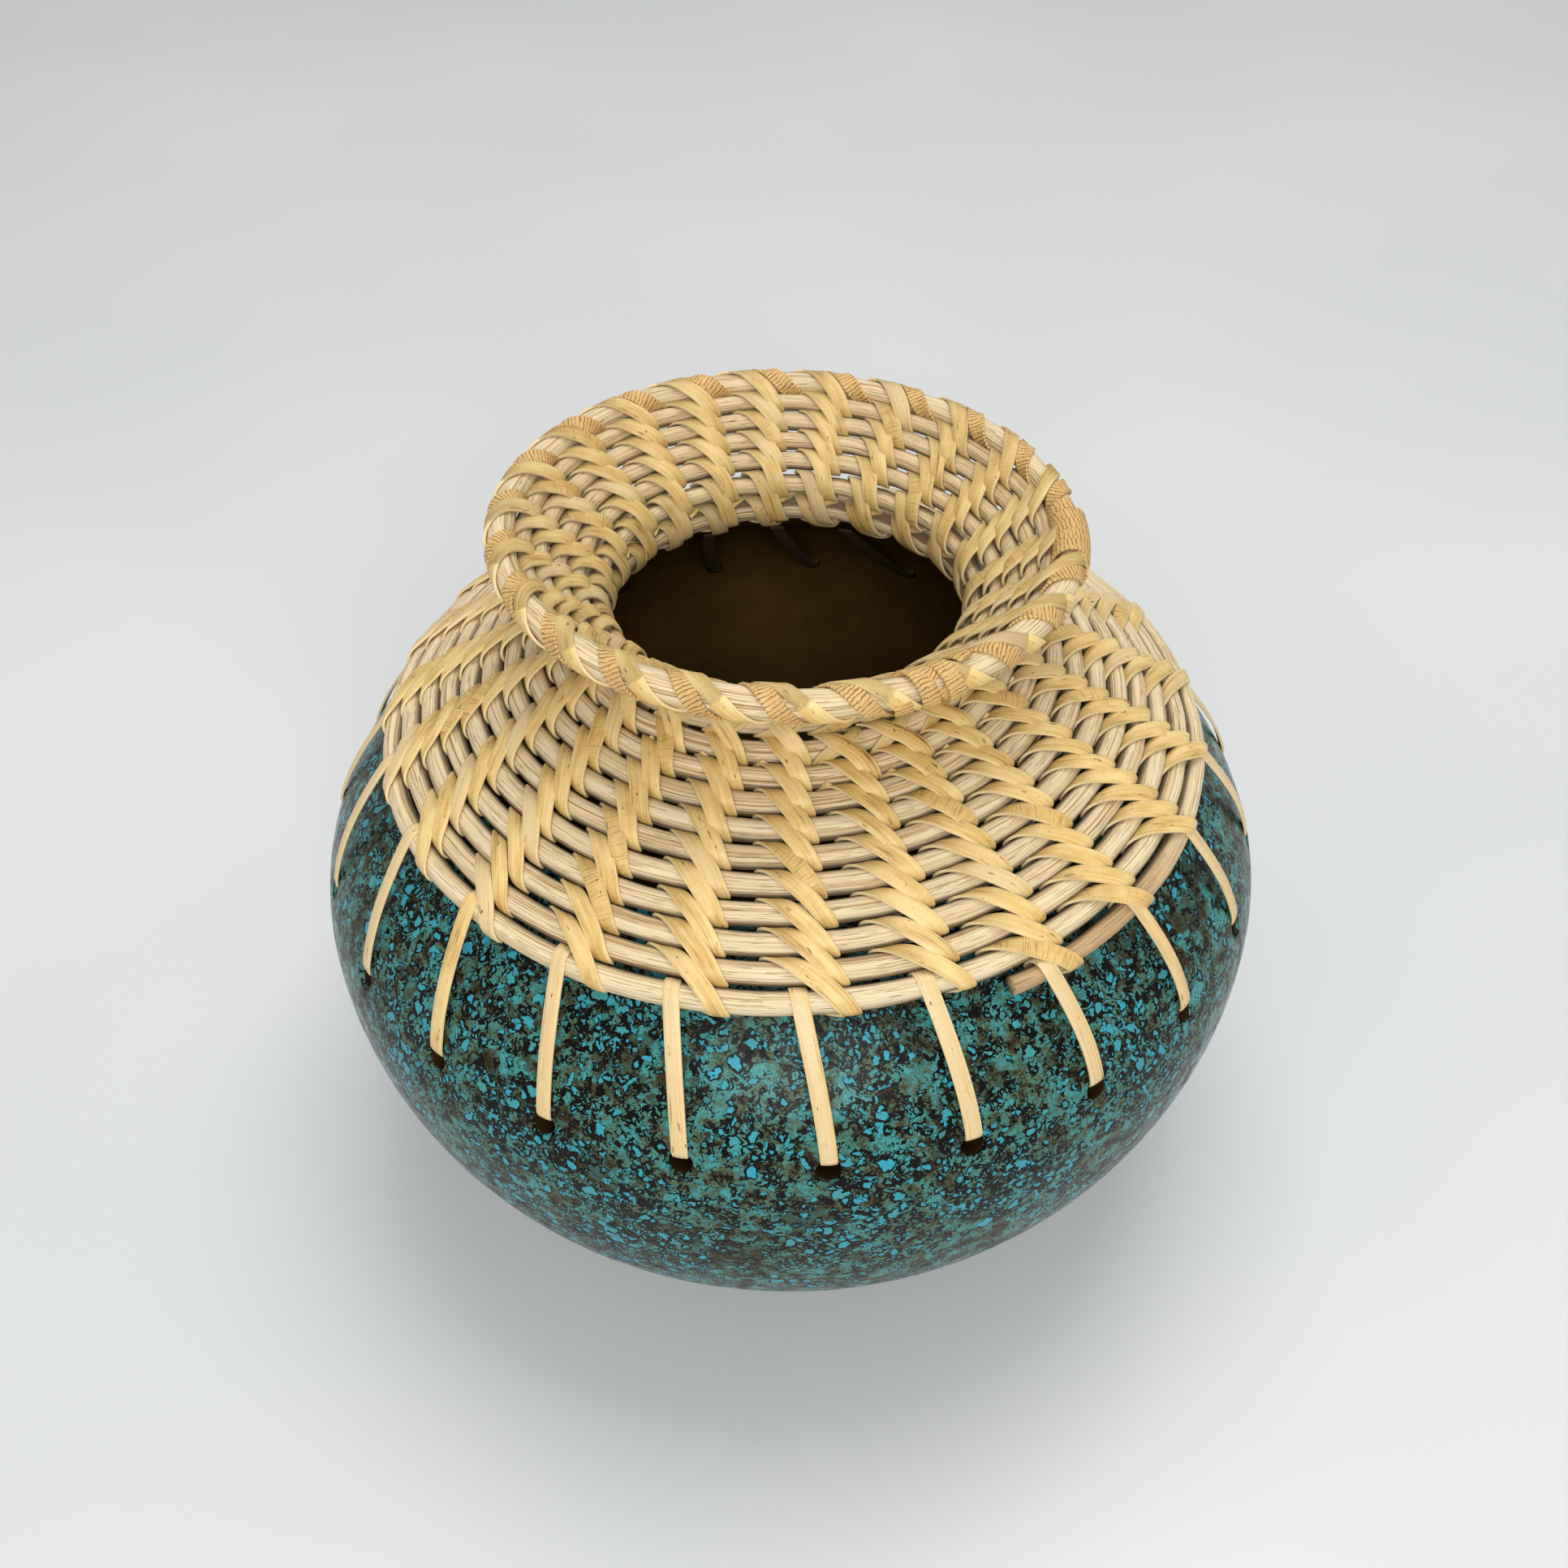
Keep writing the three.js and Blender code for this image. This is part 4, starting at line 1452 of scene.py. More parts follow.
@dataclass
class Rods:
    """The round reed: the collar's coil, the neck's coil and the rim's hoop."""

    line: CollarLine
    plan: CoilPlan
    tilt: NeckTilt
    sides: int = 16
    # Joints and cut ends.
    splice_gap: float = 0.5
    splice_column: float = 3.5
    splice_radius: float = 36.0
    rim_radius: float = 50.0
    shaved_turns: float = 0.085
    shaved_size: float = 0.8
    # Unevenness.
    run_radius: float = 60.0
    wander: float = 0.16
    wander_periods: tuple[float, float] = (46.0, 31.0)
    swell: float = 0.025
    swell_period: float = 37.0
    oval: float = 0.035
    oval_period: float = 64.0
    ridge: float = 0.012
    ridges: int = 3
    # Painted shade between turns, and browner stretches: wear at the cut end, painted shade up the neck.
    painted_shade: float = 0.85
    shade_sides: tuple[float, float] = (0.66, 0.98)
    free_turns: tuple[float, float] = (0.9, 1.0)
    end_brown: float = 0.75
    end_turns: tuple[float, float] = (0.05, 0.13)
    neck_shade_brown: float = 0.35
    neck_turns: tuple[float, float] = (-1.5, 0.5)
    hoop_tone: float = 0.9
    hoop_brown: float = 0.06
    # How many rings of points each rod has.
    shoulder_rings: int = 3600
    neck_rings: int = 1300
    hoop_rings: int = 280

    @property
    def turn_round(self) -> np.ndarray:
        """The angles of a rod's sides, from the one that faces the pot."""
        return math.pi + np.arange(self.sides) * 2 * math.pi / self.sides

    def rings(self, reach: np.ndarray, radius: np.ndarray, azimuth: np.ndarray, seed: int) -> np.ndarray:
        """Lays rings of points round a rod that follows the collar line.

        Args:
            reach: Where the rod's middle lies along the line.
            radius: Its radius.
            azimuth: Where each ring stands, in degrees.
            seed: The number that its unevenness comes from.

        Returns:
            The points, by ring, side and axis.
        """
        run = np.radians(azimuth) * self.run_radius
        along, outwards = self.wander_periods
        reach = reach + Unevenness(seed, self.wander, along).along(run)
        height = Unevenness(seed + 1, self.wander, outwards).along(run)
        place, facing = self.line.at(reach)
        place = place + height[:, None] * facing
        across = quarter_turn(facing)
        turn = self.turn_round
        swell = 1 + Unevenness(seed + 2, self.swell, self.swell_period).along(run)
        oval = Unevenness(seed + 3, self.oval, self.oval_period).along(run)
        ridge = Unevenness(seed + 4, self.ridge, 2 * math.pi).along(turn * self.ridges)
        size = (radius * swell)[:, None] * (1 + oval[:, None] * np.cos(2 * turn) + ridge)
        spokes = np.cos(turn)[:, None] * facing[:, None] + np.sin(turn)[:, None] * across[:, None]
        return self.tilt.apply(stand(place[:, None] + size[..., None] * spokes, azimuth[:, None]))

    def gap_shade_shares(self, turns: np.ndarray) -> np.ndarray:
        """Tells how much painted shade darkens each side of a rod, most where it faces the next turns.

        Args:
            turns: Turns from the cut end, for each ring. The first turn's outer side faces no other.

        Returns:
            Shares, by ring and side.
        """
        side = np.sin(self.turn_round)
        free = (1 - ease(turns, *self.free_turns))[:, None] * (side < 0)
        return self.painted_shade * ease(np.abs(side), *self.shade_sides) * (1 - free)

    def piece(self, name: str, rings: np.ndarray, radius: np.ndarray, marks: dict[str, np.ndarray],
              node: str, reed: bpy.types.Material) -> None:
        """Makes a rod's piece.

        Args:
            name: The piece's name.
            rings: Its points, by ring, side and axis.
            radius: Its radius at each ring.
            marks: Numbers for each ring, or for each ring and side.
            node: The solid that it stands for.
            reed: Its material.
        """
        girth = 2 * math.pi * float(radius.mean())
        skin = tube(rings, np.linspace(0, girth, self.sides + 1), marks)
        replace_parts(skin.piece(name, [reed], Slot.RATTAN), node)

    def rod(self, name: str, turns: np.ndarray, node: str, seed: int, reed: bpy.types.Material) -> None:
        """Makes one length of the coil.

        Args:
            name: The piece's name.
            turns: Turns from the cut end, for each ring.
            node: The solid that it stands for.
            seed: The number that its unevenness comes from.
            reed: Its material.
        """
        reach, radius = self.plan.core(turns)
        shaved = ease(turns, 0.0, self.shaved_turns)
        radius = radius * (self.shaved_size + (1 - self.shaved_size) * shaved)
        rings = self.rings(reach, radius, self.plan.cut_azimuth + 360 * turns, seed)
        # Browner at the cut end from wear, and browner up the neck as painted shade.
        worn = self.end_brown * (1 - ease(turns, *self.end_turns))
        worn += self.neck_shade_brown * ease(turns - self.plan.shoulder_turns, *self.neck_turns)
        marks = {"tone": np.full(len(turns), seed / 100), "worn": worn, "gap_shade": self.gap_shade_shares(turns)}
        self.piece(name, rings, radius, marks, node, reed)

    def hoop(self, reed: bpy.types.Material) -> None:
        """Makes the rim's hoop.

        Args:
            reed: Its material.
        """
        start = self.plan.azimuth(self.splice_column)
        count = self.hoop_rings
        gap = math.degrees(self.splice_gap / self.rim_radius)
        azimuth = np.linspace(start + gap, start + 360, count)
        radius = self.plan.hoop_size(azimuth)
        rings = self.rings(np.full(count, self.plan.hoop_reach), radius, azimuth, Seed.HOOP)
        shares = {"tone": self.hoop_tone, "worn": self.hoop_brown, "gap_shade": 0.0}
        marks = {name: np.full(count, share) for name, share in shares.items()}
        self.piece("hoop_rod", rings, radius, marks, "rim_hoop", reed)

    def build(self) -> None:
        """Makes all three rods."""
        reed = RattanGrain().material()
        splice = float(self.plan.shoulder_turns)
        end = self.plan.coil_turns + self.plan.last_turn
        gap = self.splice_gap / (2 * math.pi * self.splice_radius)
        shoulder = np.linspace(0, splice, self.shoulder_rings)
        neck = np.linspace(splice + gap, end, self.neck_rings)
        self.rod("shoulder_rod", shoulder, "shoulder_coil", Seed.SHOULDER_ROD, reed)
        self.rod("neck_rod", neck, "neck_coil", Seed.NECK_ROD, reed)
        self.hoop(reed)


@dataclass
class Trail:
    """The way that a cane strip goes, place by place."""

    place: list[np.ndarray] = field(default_factory=list)
    angle: list[np.ndarray] = field(default_factory=list)
    width: list[np.ndarray] = field(default_factory=list)
    tone: list[np.ndarray] = field(default_factory=list)
    soil_and_shade: list[np.ndarray] = field(default_factory=list)

    def add(self, place: np.ndarray, angle: Values, width: Values, tone: float, soil_and_shade: Values = 0.0) -> None:
        """Adds a stretch.

        Args:
            place: Places in the half plane.
            angle: Degrees from the column's middle.
            width: The strip's width.
            tone: The strip's tone.
            soil_and_shade: How much painted shade darkens it.
        """
        count = len(place)
        self.place.append(place)
        self.angle.append(np.broadcast_to(angle, count).astype(float))
        self.width.append(np.broadcast_to(width, count).astype(float))
        self.tone.append(np.full(count, tone))
        self.soil_and_shade.append(np.broadcast_to(soil_and_shade, count).astype(float))


@dataclass
class CaneStrip:
    """The section of split cane, and how it is laid along a trail."""

    width: float = 3.4
    thickness: float = 0.56
    crown: float = 0.1
    step: float = 0.65
    fine_step: float = 0.2
    softness: float = 0.7
    soft_reach: float = 2.5
    crisp: float = 38.0

    def section(self) -> tuple[np.ndarray, np.ndarray]:
        """Draws the section, from one edge over the skin and back along the flat side.

        Returns:
            Shares of the width with heights, and which points are on the skin.
        """
        half = self.thickness / 2
        right = [
            (0.5, -0.4 * half, 0.0),
            (0.49, 0.7 * half, 0.1),
            (0.44, half + 0.2 * self.crown, 1.0),
            (0.22, half + 0.75 * self.crown, 1.0),
        ]
        left = [(-x, y, skin) for x, y, skin in right]
        top = (0.0, half + self.crown, 1.0)
        back = [(0.46, -half, 0.0), (0.0, -half, 0.0), (-0.46, -half, 0.0)]
        table = np.array([*left, top, *right[::-1], *back])
        return table[:, :2], table[:, 2]

    def smooth(self, values: np.ndarray, step: float) -> np.ndarray:
        """Rounds off corners in a run of values.

        Args:
            values: Values by place.
            step: The distance between places.

        Returns:
            The rounded values, with the ends kept.
        """
        reach = max(1, int(round(self.soft_reach * self.softness / step)))
        kernel = np.exp(-0.5 * (np.arange(-reach, reach + 1) * step / self.softness) ** 2)
        kernel /= kernel.sum()
        margin = [(reach, reach)] + [(0, 0)] * (values.ndim - 1)
        padded = np.pad(values, margin, mode="reflect", reflect_type="odd")
        if values.ndim == 1:
            return np.convolve(padded, kernel, mode="valid")
        return np.stack([np.convolve(column, kernel, mode="valid") for column in padded.T], axis=-1)

    def lay(self, trail: Trail, azimuth: float, face: Face, tilt: NeckTilt) -> Skin:
        """Lays the strip along a trail, its skin away from the reed.

        Args:
            trail: The trail.
            azimuth: Where the column's middle stands.
            face: The side of the coil that the long stitches lie on.
            tilt: How the neck leans.

        Returns:
            The strip's skin.
        """
        place = np.concatenate(trail.place)
        angle = np.concatenate(trail.angle)
        length = added_up(np.maximum(gaps_in(stand(place, azimuth + angle)), LEAST_GAP))
        fine = self.fine_step
        even = np.arange(0, length[-1], fine)
        half_plane = self.smooth(read_off(even, length, place), fine)
        turned = self.smooth(np.interp(even, length, angle), fine)
        path = stand(half_plane, azimuth + turned)
        ahead = self.smooth(unit(np.gradient(path, axis=0)), fine)
        run = np.gradient(half_plane, axis=0)
        run = self.smooth(run / np.maximum(np.linalg.norm(run, axis=1, keepdims=True), TINY), fine)
        keep = np.arange(0, len(even), max(1, int(round(self.step / fine))))
        up = stand(face.value * quarter_turn(run), azimuth + turned)[keep]
        path, ahead = path[keep], ahead[keep]
        across = unit(np.cross(up, ahead))
        up = unit(np.cross(ahead, across))
        outline, skin = self.section()
        wide = self.smooth(np.interp(even, length, np.concatenate(trail.width)), fine)[keep]
        rings = path[:, None] + outline[None, :, :1] * wide[:, None, None] * across[:, None]
        rings = rings + outline[None, :, 1:] * up[:, None]
        marks = {
            "tone": np.interp(even, length, np.concatenate(trail.tone))[keep],
            "soil_and_shade": np.interp(even, length, np.concatenate(trail.soil_and_shade))[keep],
            "skin": np.broadcast_to(skin, rings.shape[:2]),
        }
        section = outline * [self.width, 1]
        around = added_up(gaps_in(np.concatenate([section, section[:1]])))
        return tube(tilt.apply(rings), around, marks)

    def piece(self, skin: Skin, name: str, finish: bpy.types.Material) -> bpy.types.Object:
        """Makes a strip's piece, with crisp edges.

        Args:
            skin: The strip's skin.
            name: The piece's name.
            finish: Its material.

        Returns:
            The new object.
        """
        made = skin.piece(name, [finish], Slot.CANE)
        made.data.set_sharp_from_angle(angle=math.radians(self.crisp))
        return made


@dataclass
class Lacing:
    """The cane that laces the coil: over two turns, back under one, and down to the holes as ties."""

    shape: PotShape
    line: CollarLine
    plan: CoilPlan
    tilt: NeckTilt
    strip: CaneStrip
    # Stitches, with angles as shares of a column or in degrees and ways as shares of a stitch.
    slant: float = 0.65
    bow: float = 0.7
    jitter: float = 0.5
    spacing: float = 0.3
    wrap_step: float = 6.0
    tuck_wrap: tuple[float, float] = (-30.0, -4.0)
    tuck_turn: float = 1.0
    tuck_tone: float = 0.4
    tucked: float = 0.82
    widening: tuple[float, float] = (0.0, 0.3)
    stitch_widths: tuple[float, float] = (0.92, 1.06)
    stitch_tone: tuple[float, float] = (0.42, 0.22)
    arch: float = 0.3
    arches: tuple[float, float] = (0.3, 1.4)
    layer: float = 0.45
    layered_within: tuple[float, float] = (72.0, 52.0)
    layer_starts: tuple[float, float] = (0.30, 0.62)
    layer_ends: tuple[float, float] = (0.9, 1.0)
    # Painted shade along the stitches, and more of it on the neck's inner ones.
    painted_shade: float = 0.22
    shade_starts: tuple[float, float] = (0.02, 0.5)
    shade_ends: tuple[float, float] = (0.93, 1.0)
    neck_shade: float = 0.15
    # The neck's first wrap, round the hoop, and its last one.
    hoop_wrap: tuple[float, float] = (-165.0, -3.0)
    hoop_lead: float = 9.4
    hoop_tone: float = 0.35
    last_wrap: tuple[float, float] = (184.0, 200.0)
    last_end: float = -0.26
    last_turn: float = 1.5
    last_tone: float = 0.3
    # Ties, from the collar's edge down to the holes.
    edge_wrap: tuple[float, float] = (0.0, 88.0)
    tie_start: float = -0.19
    tie_turn: float = 0.3
    tie_jitter: float = 0.4
    tie_width: float = 3.05
    tie_widths: tuple[float, float] = (0.94, 1.12)
    tie_tones: tuple[float, float] = (0.6, 1.0)
    tie_bow: float = 0.6
    tie_falls: tuple[float, float] = (0.75, 1.0)
    tie_first: float = 0.06
    tie_steps: int = 60
    far_hug: float = 0.5
    far_from: float = -0.05
    # The way through a hole and up inside.
    hole_offset: float = -0.01
    hole_margin: float = 1.9
    hole_rise: float = 1.15
    hole_depths: tuple[float, ...] = (0.6, 2.5, 5.0)
    # Painted shade on the strip deeper in the hole.
    hole_shades: tuple[float, ...] = (0.4, 0.4, 0.9, 0.95)
    hole_squeeze: float = 0.94
    tail_gap: float = 0.6
    tail_slant: float = 0.4
    tail_tone: float = 0.05
    # Painted shade on the tail inside the pot.
    tail_shade: float = 0.95
    tail_first: float = 0.08
    tail_steps: int = 30
    # How far the hand puts columns off their even places, in degrees.
    column_lean: float = 4.0
    edge_shift: float = -1.2
    climb_reaches: tuple[float, float] = (-45.0, -5.0)
    side_shift: float = -4.6
    side_from: tuple[float, float] = (276.0, 330.0)
    side_until: tuple[float, float] = (350.0, 430.0)
    neck_shifts: tuple[float, float] = (-11.0, -1.0)
    neck_shift_azimuths: tuple[float, float] = (8.0, 165.0)

    @property
    def column_angle(self) -> float:
        """The angle between two columns."""
        return 360 / self.plan.columns

    @property
    def span(self) -> float:
        """The angle that a long stitch runs."""
        return self.slant * self.column_angle

    def shoulder_shift(self, azimuth: float, reach: float) -> float:
        """Finds how far the hand's unevenness puts a stitch of the collar off its column.

        Args:
            azimuth: The column's middle.
            reach: How far up the collar the stitch lies.

        Returns:
            The angle, in degrees.
        """
        turned = np.array((azimuth - 180) % 360 + 180)
        side = ease(turned, *self.side_from) * (1 - ease(turned, *self.side_until))
        low, high = self.climb_reaches
        climbed = float(np.clip((reach - low) / (high - low), 0, 1))
        return self.edge_shift - self.column_lean * climbed + self.side_shift * float(side)

    def neck_azimuth(self, column: float) -> float:
        """Finds where a column of the neck stands, which is less even than on the collar.

        Args:
            column: The column.

        Returns:
            The azimuth.
        """
        even = self.plan.azimuth(column)
        right, left = self.neck_shift_azimuths
        low, high = self.neck_shifts
        turned = (even - right) % 360 + right
        return even + float(np.interp(turned, [right, left, right + 360], [low, high, low]))

    def wrap(self, row: Row, start: float, end: float, face: Face) -> np.ndarray:
        """Goes round part of a row, close to the reed.

        Args:
            row: The row.
            start: Degrees from the side towards the rim, where it starts.
            end: Degrees where it ends.
            face: The side of the coil that counts as 90 degrees.

        Returns:
            Reaches and heights.
        """
        turn = np.radians(np.linspace(start, end, max(3, int(abs(end - start) / self.wrap_step))))
        radius = row.radius + self.strip.thickness / 2
        return np.stack([row.reach + radius * np.cos(turn), face.value * radius * np.sin(turn)], axis=-1)

    def over(self, legs: Sequence[np.ndarray]) -> tuple[np.ndarray, np.ndarray]:
        """Joins stretches and spaces them evenly.

        Args:
            legs: Stretches of reaches and heights.

        Returns:
            Evenly spaced reaches and heights, and each one's share of the way.
        """
        way = np.concatenate(legs)
        length = added_up(gaps_in(way))
        share = np.linspace(0, 1, max(8, int(length[-1] / self.spacing)))
        return read_off(share * length[-1], length, way), share

    def raised(self, way: np.ndarray, share: np.ndarray, face: Face, arch: float) -> np.ndarray:
        """Arches a stitch, and lifts its later half where it lies on the start of the next one.

        Args:
            way: Reaches and heights.
            share: Each one's share of the way.
            face: The side that the stitch lies on.
            arch: How high it arches.

        Returns:
            Places in the half plane.
        """
        place, _ = self.line.at(way[:, 0])
        crowded = ease(place[:, 0], *self.layered_within)
        lift = self.layer * crowded * ease(share, *self.layer_starts) * (1 - ease(share, *self.layer_ends))
        lift = lift + arch * np.sin(math.pi * share) ** 2
        return self.line.off(way[:, 0], way[:, 1] + face.value * lift)

    def stitch(self, trail: Trail, rows: list[Row], upper: int, face: Face, rng: np.random.Generator,
               ends: tuple[float, float], rise: float | None) -> None:
        """Adds a stitch: over two rows and, unless it is the last, back under the lower one.

        Args:
            trail: The trail to add to.
            rows: The column's rows.
            upper: The upper row's number.
            face: The side that the long stroke lies on.
            rng: Where its unevenness comes from.
            ends: Degrees from the column's middle, at the top and at the bottom.
            rise: Degrees where it comes up again from under the lower row, or none if it doesn't.
        """
        high, low = rows[upper], rows[upper - 1]
        start, end = ends
        width = self.strip.width * rng.uniform(*self.stitch_widths)
        tone = float(np.clip(rng.normal(*self.stitch_tone), 0, 1))
        way, share = self.over([self.wrap(high, 0, 90, face), self.wrap(low, 90, 180, face)])
        angle = start + (end - start) * (share + self.bow * share * (1 - share))
        taken = width * (self.tucked + (1 - self.tucked) * ease(share, *self.widening))
        # Painted shade: darker where the stitch comes up from under the upper row, a little darker at its
        # end, and more on the neck's inner stitches.
        shade = self.painted_shade * (1 - ease(share, *self.shade_starts))
        shade = shade + self.painted_shade / 2 * ease(share, *self.shade_ends)
        shade = shade + (self.neck_shade if face is Face.INNER else 0.0)
        place = self.raised(way, share, face, self.arch * rng.uniform(*self.arches))
        trail.add(place, angle, taken, tone, shade)
        if rise is None:
            return
        under, share = self.over([self.wrap(low, 180, 360, face)])
        pace = (end - start) * math.pi * low.radius / (len(way) * self.spacing)
        leave, come = (1 - self.bow) * pace, (1 + self.bow) * pace
        turn = (2 * share**3 - 3 * share**2 + 1) * end + (share**3 - 2 * share**2 + share) * leave
        turn += (3 * share**2 - 2 * share**3) * rise + (share**3 - share**2) * come
        place = self.line.along(under)
        # The stroke under the lower row gets full painted shade.
        trail.add(place[1:-1], turn[1:-1], self.tucked * width, tone, self.painted_shade)

    def tie(self, trail: Trail, rows: list[Row], azimuth: float, rng: np.random.Generator) -> None:
        """Adds the stretch from the collar's edge down to the hole, through it and up inside.

        Args:
            trail: The trail to add to.
            rows: The column's rows.
            azimuth: Where the column stands, in degrees. Ties on the far side lie closer to the pot.
            rng: Where its unevenness comes from.
        """
        shape, edge = self.shape, rows[0]
        width = self.tie_width * rng.uniform(*self.tie_widths)
        tone = float(rng.uniform(*self.tie_tones))
        start = self.tie_start * self.column_angle + rng.uniform(-self.tie_jitter, self.tie_jitter)
        hole = self.hole_offset * self.column_angle
        way, share = self.over([self.wrap(edge, *self.edge_wrap, Face.OUTER)])
        trail.add(self.line.along(way), start + self.tie_turn * share, width, tone)
        top = self.line.wall_share(edge.reach)
        bottom = shape.share_at(shape.hole_height + self.hole_margin)
        share = np.linspace(self.tie_first, 1, self.tie_steps)
        wall, facing = shape.shoulder(top + (bottom - top) * share)
        lift = self.line.standoff + edge.radius
        fall = rng.uniform(*self.tie_falls)
        fall *= self.far_hug if math.sin(math.radians(azimuth)) > self.far_from else 1.0
        height = self.strip.thickness / 2 + lift * (1 - share**fall)
        start = start + self.tie_turn
        angle = start + (hole - start) * (share + self.tie_bow * share * (1 - share))
        trail.add(wall + height[:, None] * facing, angle, width, tone)
        middle, out = shape.shoulder(np.array(shape.share_at(shape.hole_height)))
        depth = np.array([*self.hole_depths, shape.wall + self.tail_gap])
        through = middle + self.hole_rise * quarter_turn(out) - depth[:, None] * out
        squeezed = self.hole_squeeze * width
        # Painted shade in the hole, darker further in.
        trail.add(through, hole, squeezed, tone, np.array(self.hole_shades))
        aside = quarter_turn(unit(shape.lip_centre - through[-1]))
        tuck = shape.lip_centre + aside * (shape.lip_wall / 2 + self.tail_gap)
        share = np.linspace(self.tail_first, 1, self.tail_steps)
        inside = through[-1] + share[:, None] * (tuck - through[-1])
        tail = hole + self.tail_slant * self.column_angle * share
        # The tail inside the pot is darkened as painted shade.
        trail.add(inside, tail, squeezed, self.tail_tone, self.tail_shade)

    def throat_row(self, rows: list[Row]) -> int:
        """Finds the row nearest below the narrowest part of the throat."""
        return max(number for number, row in enumerate(rows) if row.reach <= self.line.throat_reach)

    def shoulder_strip(self, column: int, cane: bpy.types.Material) -> None:
        """Makes the strip that laces a column of the collar and ties it to the pot.

        Args:
            column: The column.
            cane: Its material.
        """
        rng = np.random.default_rng(Seed.SHOULDER_CANE + column)
        azimuth = self.plan.azimuth(column)
        rows = self.plan.rows(azimuth)
        trail = Trail()
        top = self.throat_row(rows)
        half = self.span / 2
        shifts = [self.shoulder_shift(azimuth, row.reach) for row in rows]
        tuck, share = self.over([self.wrap(rows[top], *self.tuck_wrap, Face.OUTER)])
        lead = self.tuck_turn * (1 - share)
        trail.add(self.line.along(tuck), shifts[top] - half - lead, self.strip.width, self.tuck_tone)
        for row in range(top, 0, -1):
            start = shifts[row] - half + rng.uniform(-self.jitter, self.jitter)
            end = shifts[row] + half + rng.uniform(-self.jitter, self.jitter)
            rise = shifts[row - 1] - half if row > 1 else self.tie_start * self.column_angle
            self.stitch(trail, rows, row, Face.OUTER, rng, (start, end), rise)
        self.tie(trail, rows, azimuth, rng)
        skin = self.strip.lay(trail, azimuth, Face.OUTER, self.tilt)
        piece = self.strip.piece(skin, f"shoulder_cane_{column + 1:02d}", cane)
        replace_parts(piece, f"shoulder_lacing_{column + 1:02d}")

    def neck_strip(self, column: int, cane: bpy.types.Material) -> None:
        """Makes the strip that wraps the hoop and laces a column of the neck.

        Args:
            column: The column.
            cane: Its material.
        """
        rng = np.random.default_rng(Seed.NECK_CANE + column)
        azimuth = self.neck_azimuth(column)
        rows = self.plan.rows(azimuth)
        trail = Trail()
        hoop, bottom = len(rows) - 1, self.throat_row(rows) - 1
        half, last_end = self.span / 2, self.last_end * self.column_angle
        tuck, share = self.over([self.wrap(rows[hoop], *self.hoop_wrap, Face.INNER)])
        lead = self.hoop_lead * (1 - share)
        trail.add(self.line.along(tuck), half + lead, self.strip.width, self.hoop_tone)
        for row in range(hoop, bottom, -1):
            last = row == bottom + 1
            start = half + rng.uniform(-self.jitter, self.jitter) * (row < hoop)
            end = last_end if last else -half + rng.uniform(-self.jitter, self.jitter)
            self.stitch(trail, rows, row, Face.INNER, rng, (start, end), None if last else half)
        tail, share = self.over([self.wrap(rows[bottom], *self.last_wrap, Face.INNER)])
        angle = last_end - self.last_turn * share
        trail.add(self.line.along(tail), angle, self.strip.width, self.last_tone)
        skin = self.strip.lay(trail, azimuth, Face.INNER, self.tilt)
        piece = self.strip.piece(skin, f"neck_cane_{column + 1:02d}", cane)
        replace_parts(piece, f"neck_lacing_{column + 1:02d}")

    def build(self) -> None:
        """Makes every strip."""
        cane = CaneSkin().material()
        for column in range(self.plan.columns):
            self.shoulder_strip(column, cane)
            self.neck_strip(column, cane)


@dataclass
class RimBinding:
    """The cane wound round the rim's hoop, a turn beside each stitch and closer turns at its splices."""

    lacing: Lacing
    offset: float = 7.3
    lift: float = 0.03
    steps: int = 90
    end_turn: float = 0.04
    splice_end: float = 0.1
    splices: tuple[tuple[str, float, float, int], ...] = (
        ("front_splice", 289.0, 5.2, 3),
        ("side_splice", 346.0, 3.7, 5),
    )

    def winding(self, turns: np.ndarray, azimuth: np.ndarray, lift: float) -> Skin:
        """Winds a strip round the hoop.

        Args:
            turns: Turns round the hoop, for each place.
            azimuth: Where each place stands.
            lift: How far off the reed it lies.

        Returns:
            The strip's skin.
        """
        plan, strip = self.lacing.plan, self.lacing.strip
        turn = -2 * math.pi * turns
        radius = plan.hoop_size(azimuth) + strip.thickness / 2 + lift
        reach = plan.hoop_reach + radius * np.cos(turn)
        trail = Trail()
        trail.add(self.lacing.line.off(reach, -radius * np.sin(turn)), azimuth, strip.width, 0.5)
        return strip.lay(trail, 0.0, Face.INNER, self.lacing.tilt)

    def build(self) -> None:
        """Makes the windings."""
        columns = self.lacing.plan.columns
        cracked = CrackedCane().material()
        turns = np.linspace(self.end_turn, columns - self.end_turn, columns * self.steps)
        azimuth = np.array([self.lacing.neck_azimuth(turn - 0.5) for turn in turns])
        skin = self.winding(turns, azimuth + self.offset, self.lift)
        self.lacing.strip.piece(skin, "rim_binding", cracked)
        for name, first, step, count in self.splices:
            turns = np.linspace(self.splice_end, count - self.splice_end, count * self.steps)
            skin = self.winding(turns, first + step * turns, self.lift + self.lacing.strip.thickness)
            self.lacing.strip.piece(skin, name, cracked)


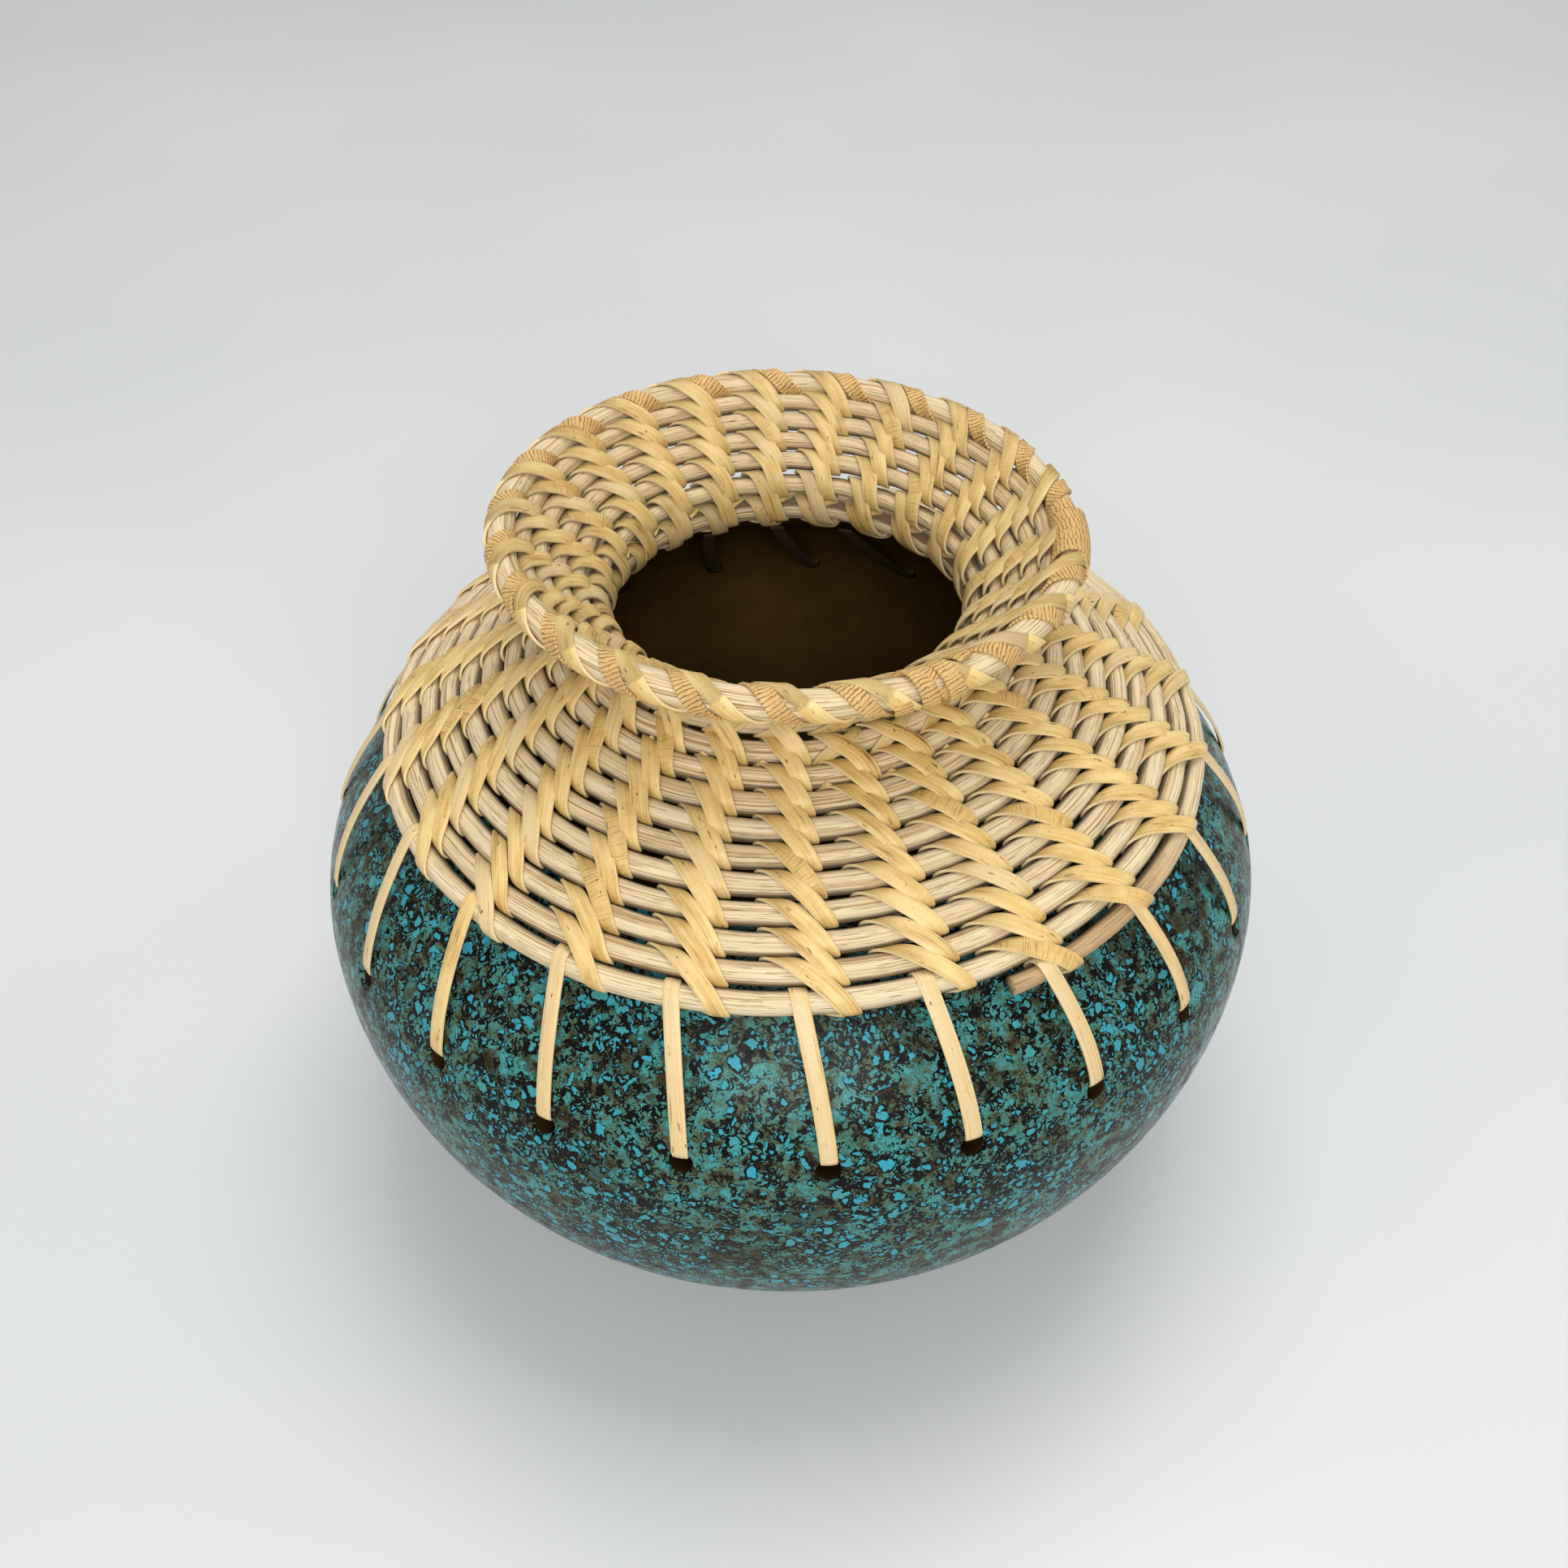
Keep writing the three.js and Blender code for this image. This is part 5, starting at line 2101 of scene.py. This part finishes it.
@dataclass
class LooseFibres:
    """Thin fibres that stand off the reed and the cane."""

    line: CollarLine
    plan: CoilPlan
    tilt: NeckTilt
    count: int = 90
    thickness: float = 0.07
    thicknesses: tuple[float, float] = (0.6, 1.3)
    taper: float = 0.7
    lengths: tuple[float, float] = (2.0, 7.0)
    lifts: tuple[float, float] = (0.3, 1.6)
    bends: tuple[float, float] = (1.0, 2.0)
    aside: float = 0.5
    aside_bend: float = 1.5
    first_turn: float = 0.3
    inner_reach: float = 6.0
    dark_share: float = 0.12
    tones: tuple[float, float] = (0.3, 1.0)
    girth: float = 0.4
    steps: int = 9
    sides: int = 4

    def hair(self, rng: np.random.Generator) -> Skin:
        """Makes one fibre that starts on a turn of the coil.

        Args:
            rng: Where its place and shape come from.

        Returns:
            Its skin.
        """
        turn = rng.uniform(self.first_turn, self.plan.coil_turns)
        reach, radius = (float(value) for value in self.plan.core(np.array(turn)))
        face = Face.OUTER if reach < self.inner_reach else Face.INNER
        azimuth = self.plan.cut_azimuth + 360 * turn
        length = rng.uniform(*self.lengths)
        share = np.linspace(0, 1, self.steps)
        height = face.value * (radius + rng.uniform(*self.lifts) * share ** rng.uniform(*self.bends))
        aside = rng.uniform(-1, 1) * length * self.aside * share**self.aside_bend
        place = self.line.off(reach + aside, height)
        turned = azimuth + math.degrees(length / place[0, 0]) * share * rng.choice([-1, 1])
        path = self.tilt.apply(stand(place, turned))
        ahead = unit(np.gradient(path, axis=0))
        level = unit(np.cross(ahead, [0.0, 0.0, 1.0]))
        upper = np.cross(level, ahead)
        size = self.thickness * (1 - self.taper * share) * rng.uniform(*self.thicknesses)
        angle = (np.arange(self.sides) * 2 * math.pi / self.sides)[:, None]
        spokes = np.cos(angle) * level[:, None] + np.sin(angle) * upper[:, None]
        rings = path[:, None] + size[:, None, None] * spokes
        soil_and_shade = float(rng.random() < self.dark_share)
        shares = {"soil_and_shade": soil_and_shade, "tone": rng.uniform(*self.tones), "skin": 1.0}
        marks = {name: np.full(self.steps, share) for name, share in shares.items()}
        return tube(rings, np.linspace(0, self.girth, self.sides + 1), marks)

    def build(self) -> None:
        """Makes all fibres as one piece."""
        rng = np.random.default_rng(Seed.FIBRES)
        whole = self.hair(rng)
        for _ in range(self.count - 1):
            whole = whole.joined(self.hair(rng))
        whole.piece("loose_fibres", [bpy.data.materials["cane_skin"]], Slot.CANE)


@dataclass(frozen=True)
class Lamp:
    """A square soft light, with its power in watts."""

    name: str
    place: tuple[float, float, float]
    size: float
    power: float


@dataclass
class Studio:
    """The camera, the floor and the lights."""

    camera_place: tuple[float, float, float] = (0.0, -278.34, 340.83)
    camera_right: tuple[float, float, float] = (0.99994237, -0.00471767, -0.00964353)
    camera_up: tuple[float, float, float] = (0.01031742, 0.67057713, 0.74176807)
    lens: float = 39.88
    sensor: float = 36.0
    nearest: float = 10.0
    floor_size: float = 6000.0
    sky: float = 0.43
    sky_tint: Colour = (0.985, 0.99, 1.0, 1.0)
    front: Lamp = Lamp("front", (50.0, -1250.0, 950.0), 800.0, 14.0)
    overhead: Lamp = Lamp("overhead", (100.0, 300.0, 1300.0), 900.0, 8.6)
    aim_height: float = 80.0

    def camera(self) -> None:
        """Sets the camera where the photograph was taken from."""
        data = bpy.data.cameras.new("camera")
        data.lens = self.lens
        data.sensor_width = self.sensor
        data.clip_start = self.nearest / METRE
        made = placed("camera", data)
        right, up = Vector(self.camera_right), Vector(self.camera_up)
        turn = Matrix((right, up, right.cross(up))).transposed().to_4x4()
        made.matrix_world = Matrix.Translation(Vector(self.camera_place) / METRE) @ turn
        bpy.context.scene.camera = made

    def hang(self, lamp: Lamp) -> None:
        """Hangs a lamp so that it faces the vase.

        Args:
            lamp: The lamp.
        """
        data = bpy.data.lights.new(lamp.name, "AREA")
        data.size = lamp.size / METRE
        data.energy = lamp.power
        made = placed(lamp.name, data)
        made.location = [distance / METRE for distance in lamp.place]
        aim = Vector((0, 0, self.aim_height / METRE)) - made.location
        made.rotation_euler = aim.to_track_quat("-Z", "Y").to_euler()

    def floor(self) -> None:
        """Lays the floor."""
        corners = self.floor_size / 2 * np.array([(-1, -1, 0), (1, -1, 0), (1, 1, 0), (-1, 1, 0)])
        made = placed("floor", new_mesh("floor", corners, [[0, 1, 2, 3]], [PaleFloor().material()]))

    def build(self) -> None:
        """Sets up the whole studio."""
        world = bpy.data.worlds.new("studio")
        world.use_nodes = True
        backdrop = world.node_tree.nodes["Background"]
        backdrop.inputs["Color"].default_value = self.sky_tint
        backdrop.inputs["Strength"].default_value = self.sky
        bpy.context.scene.world = world
        bpy.context.scene.view_settings.view_transform = "Standard"
        self.camera()
        self.floor()
        self.hang(self.front)
        self.hang(self.overhead)


def main() -> None:
    """Builds the studio and the vase, piece by piece."""
    logging.basicConfig(level=logging.INFO, format="%(name)s: %(message)s")
    Studio().build()
    shape = PotShape()
    line = CollarLine(shape)
    plan = CoilPlan()
    tilt = NeckTilt()
    strip = CaneStrip()
    Pot(shape).build()
    Rods(line, plan, tilt).build()
    lacing = Lacing(shape, line, plan, tilt, strip)
    lacing.build()
    RimBinding(lacing).build()
    LooseFibres(line, plan, tilt).build()


if __name__ == "__main__":
    main()
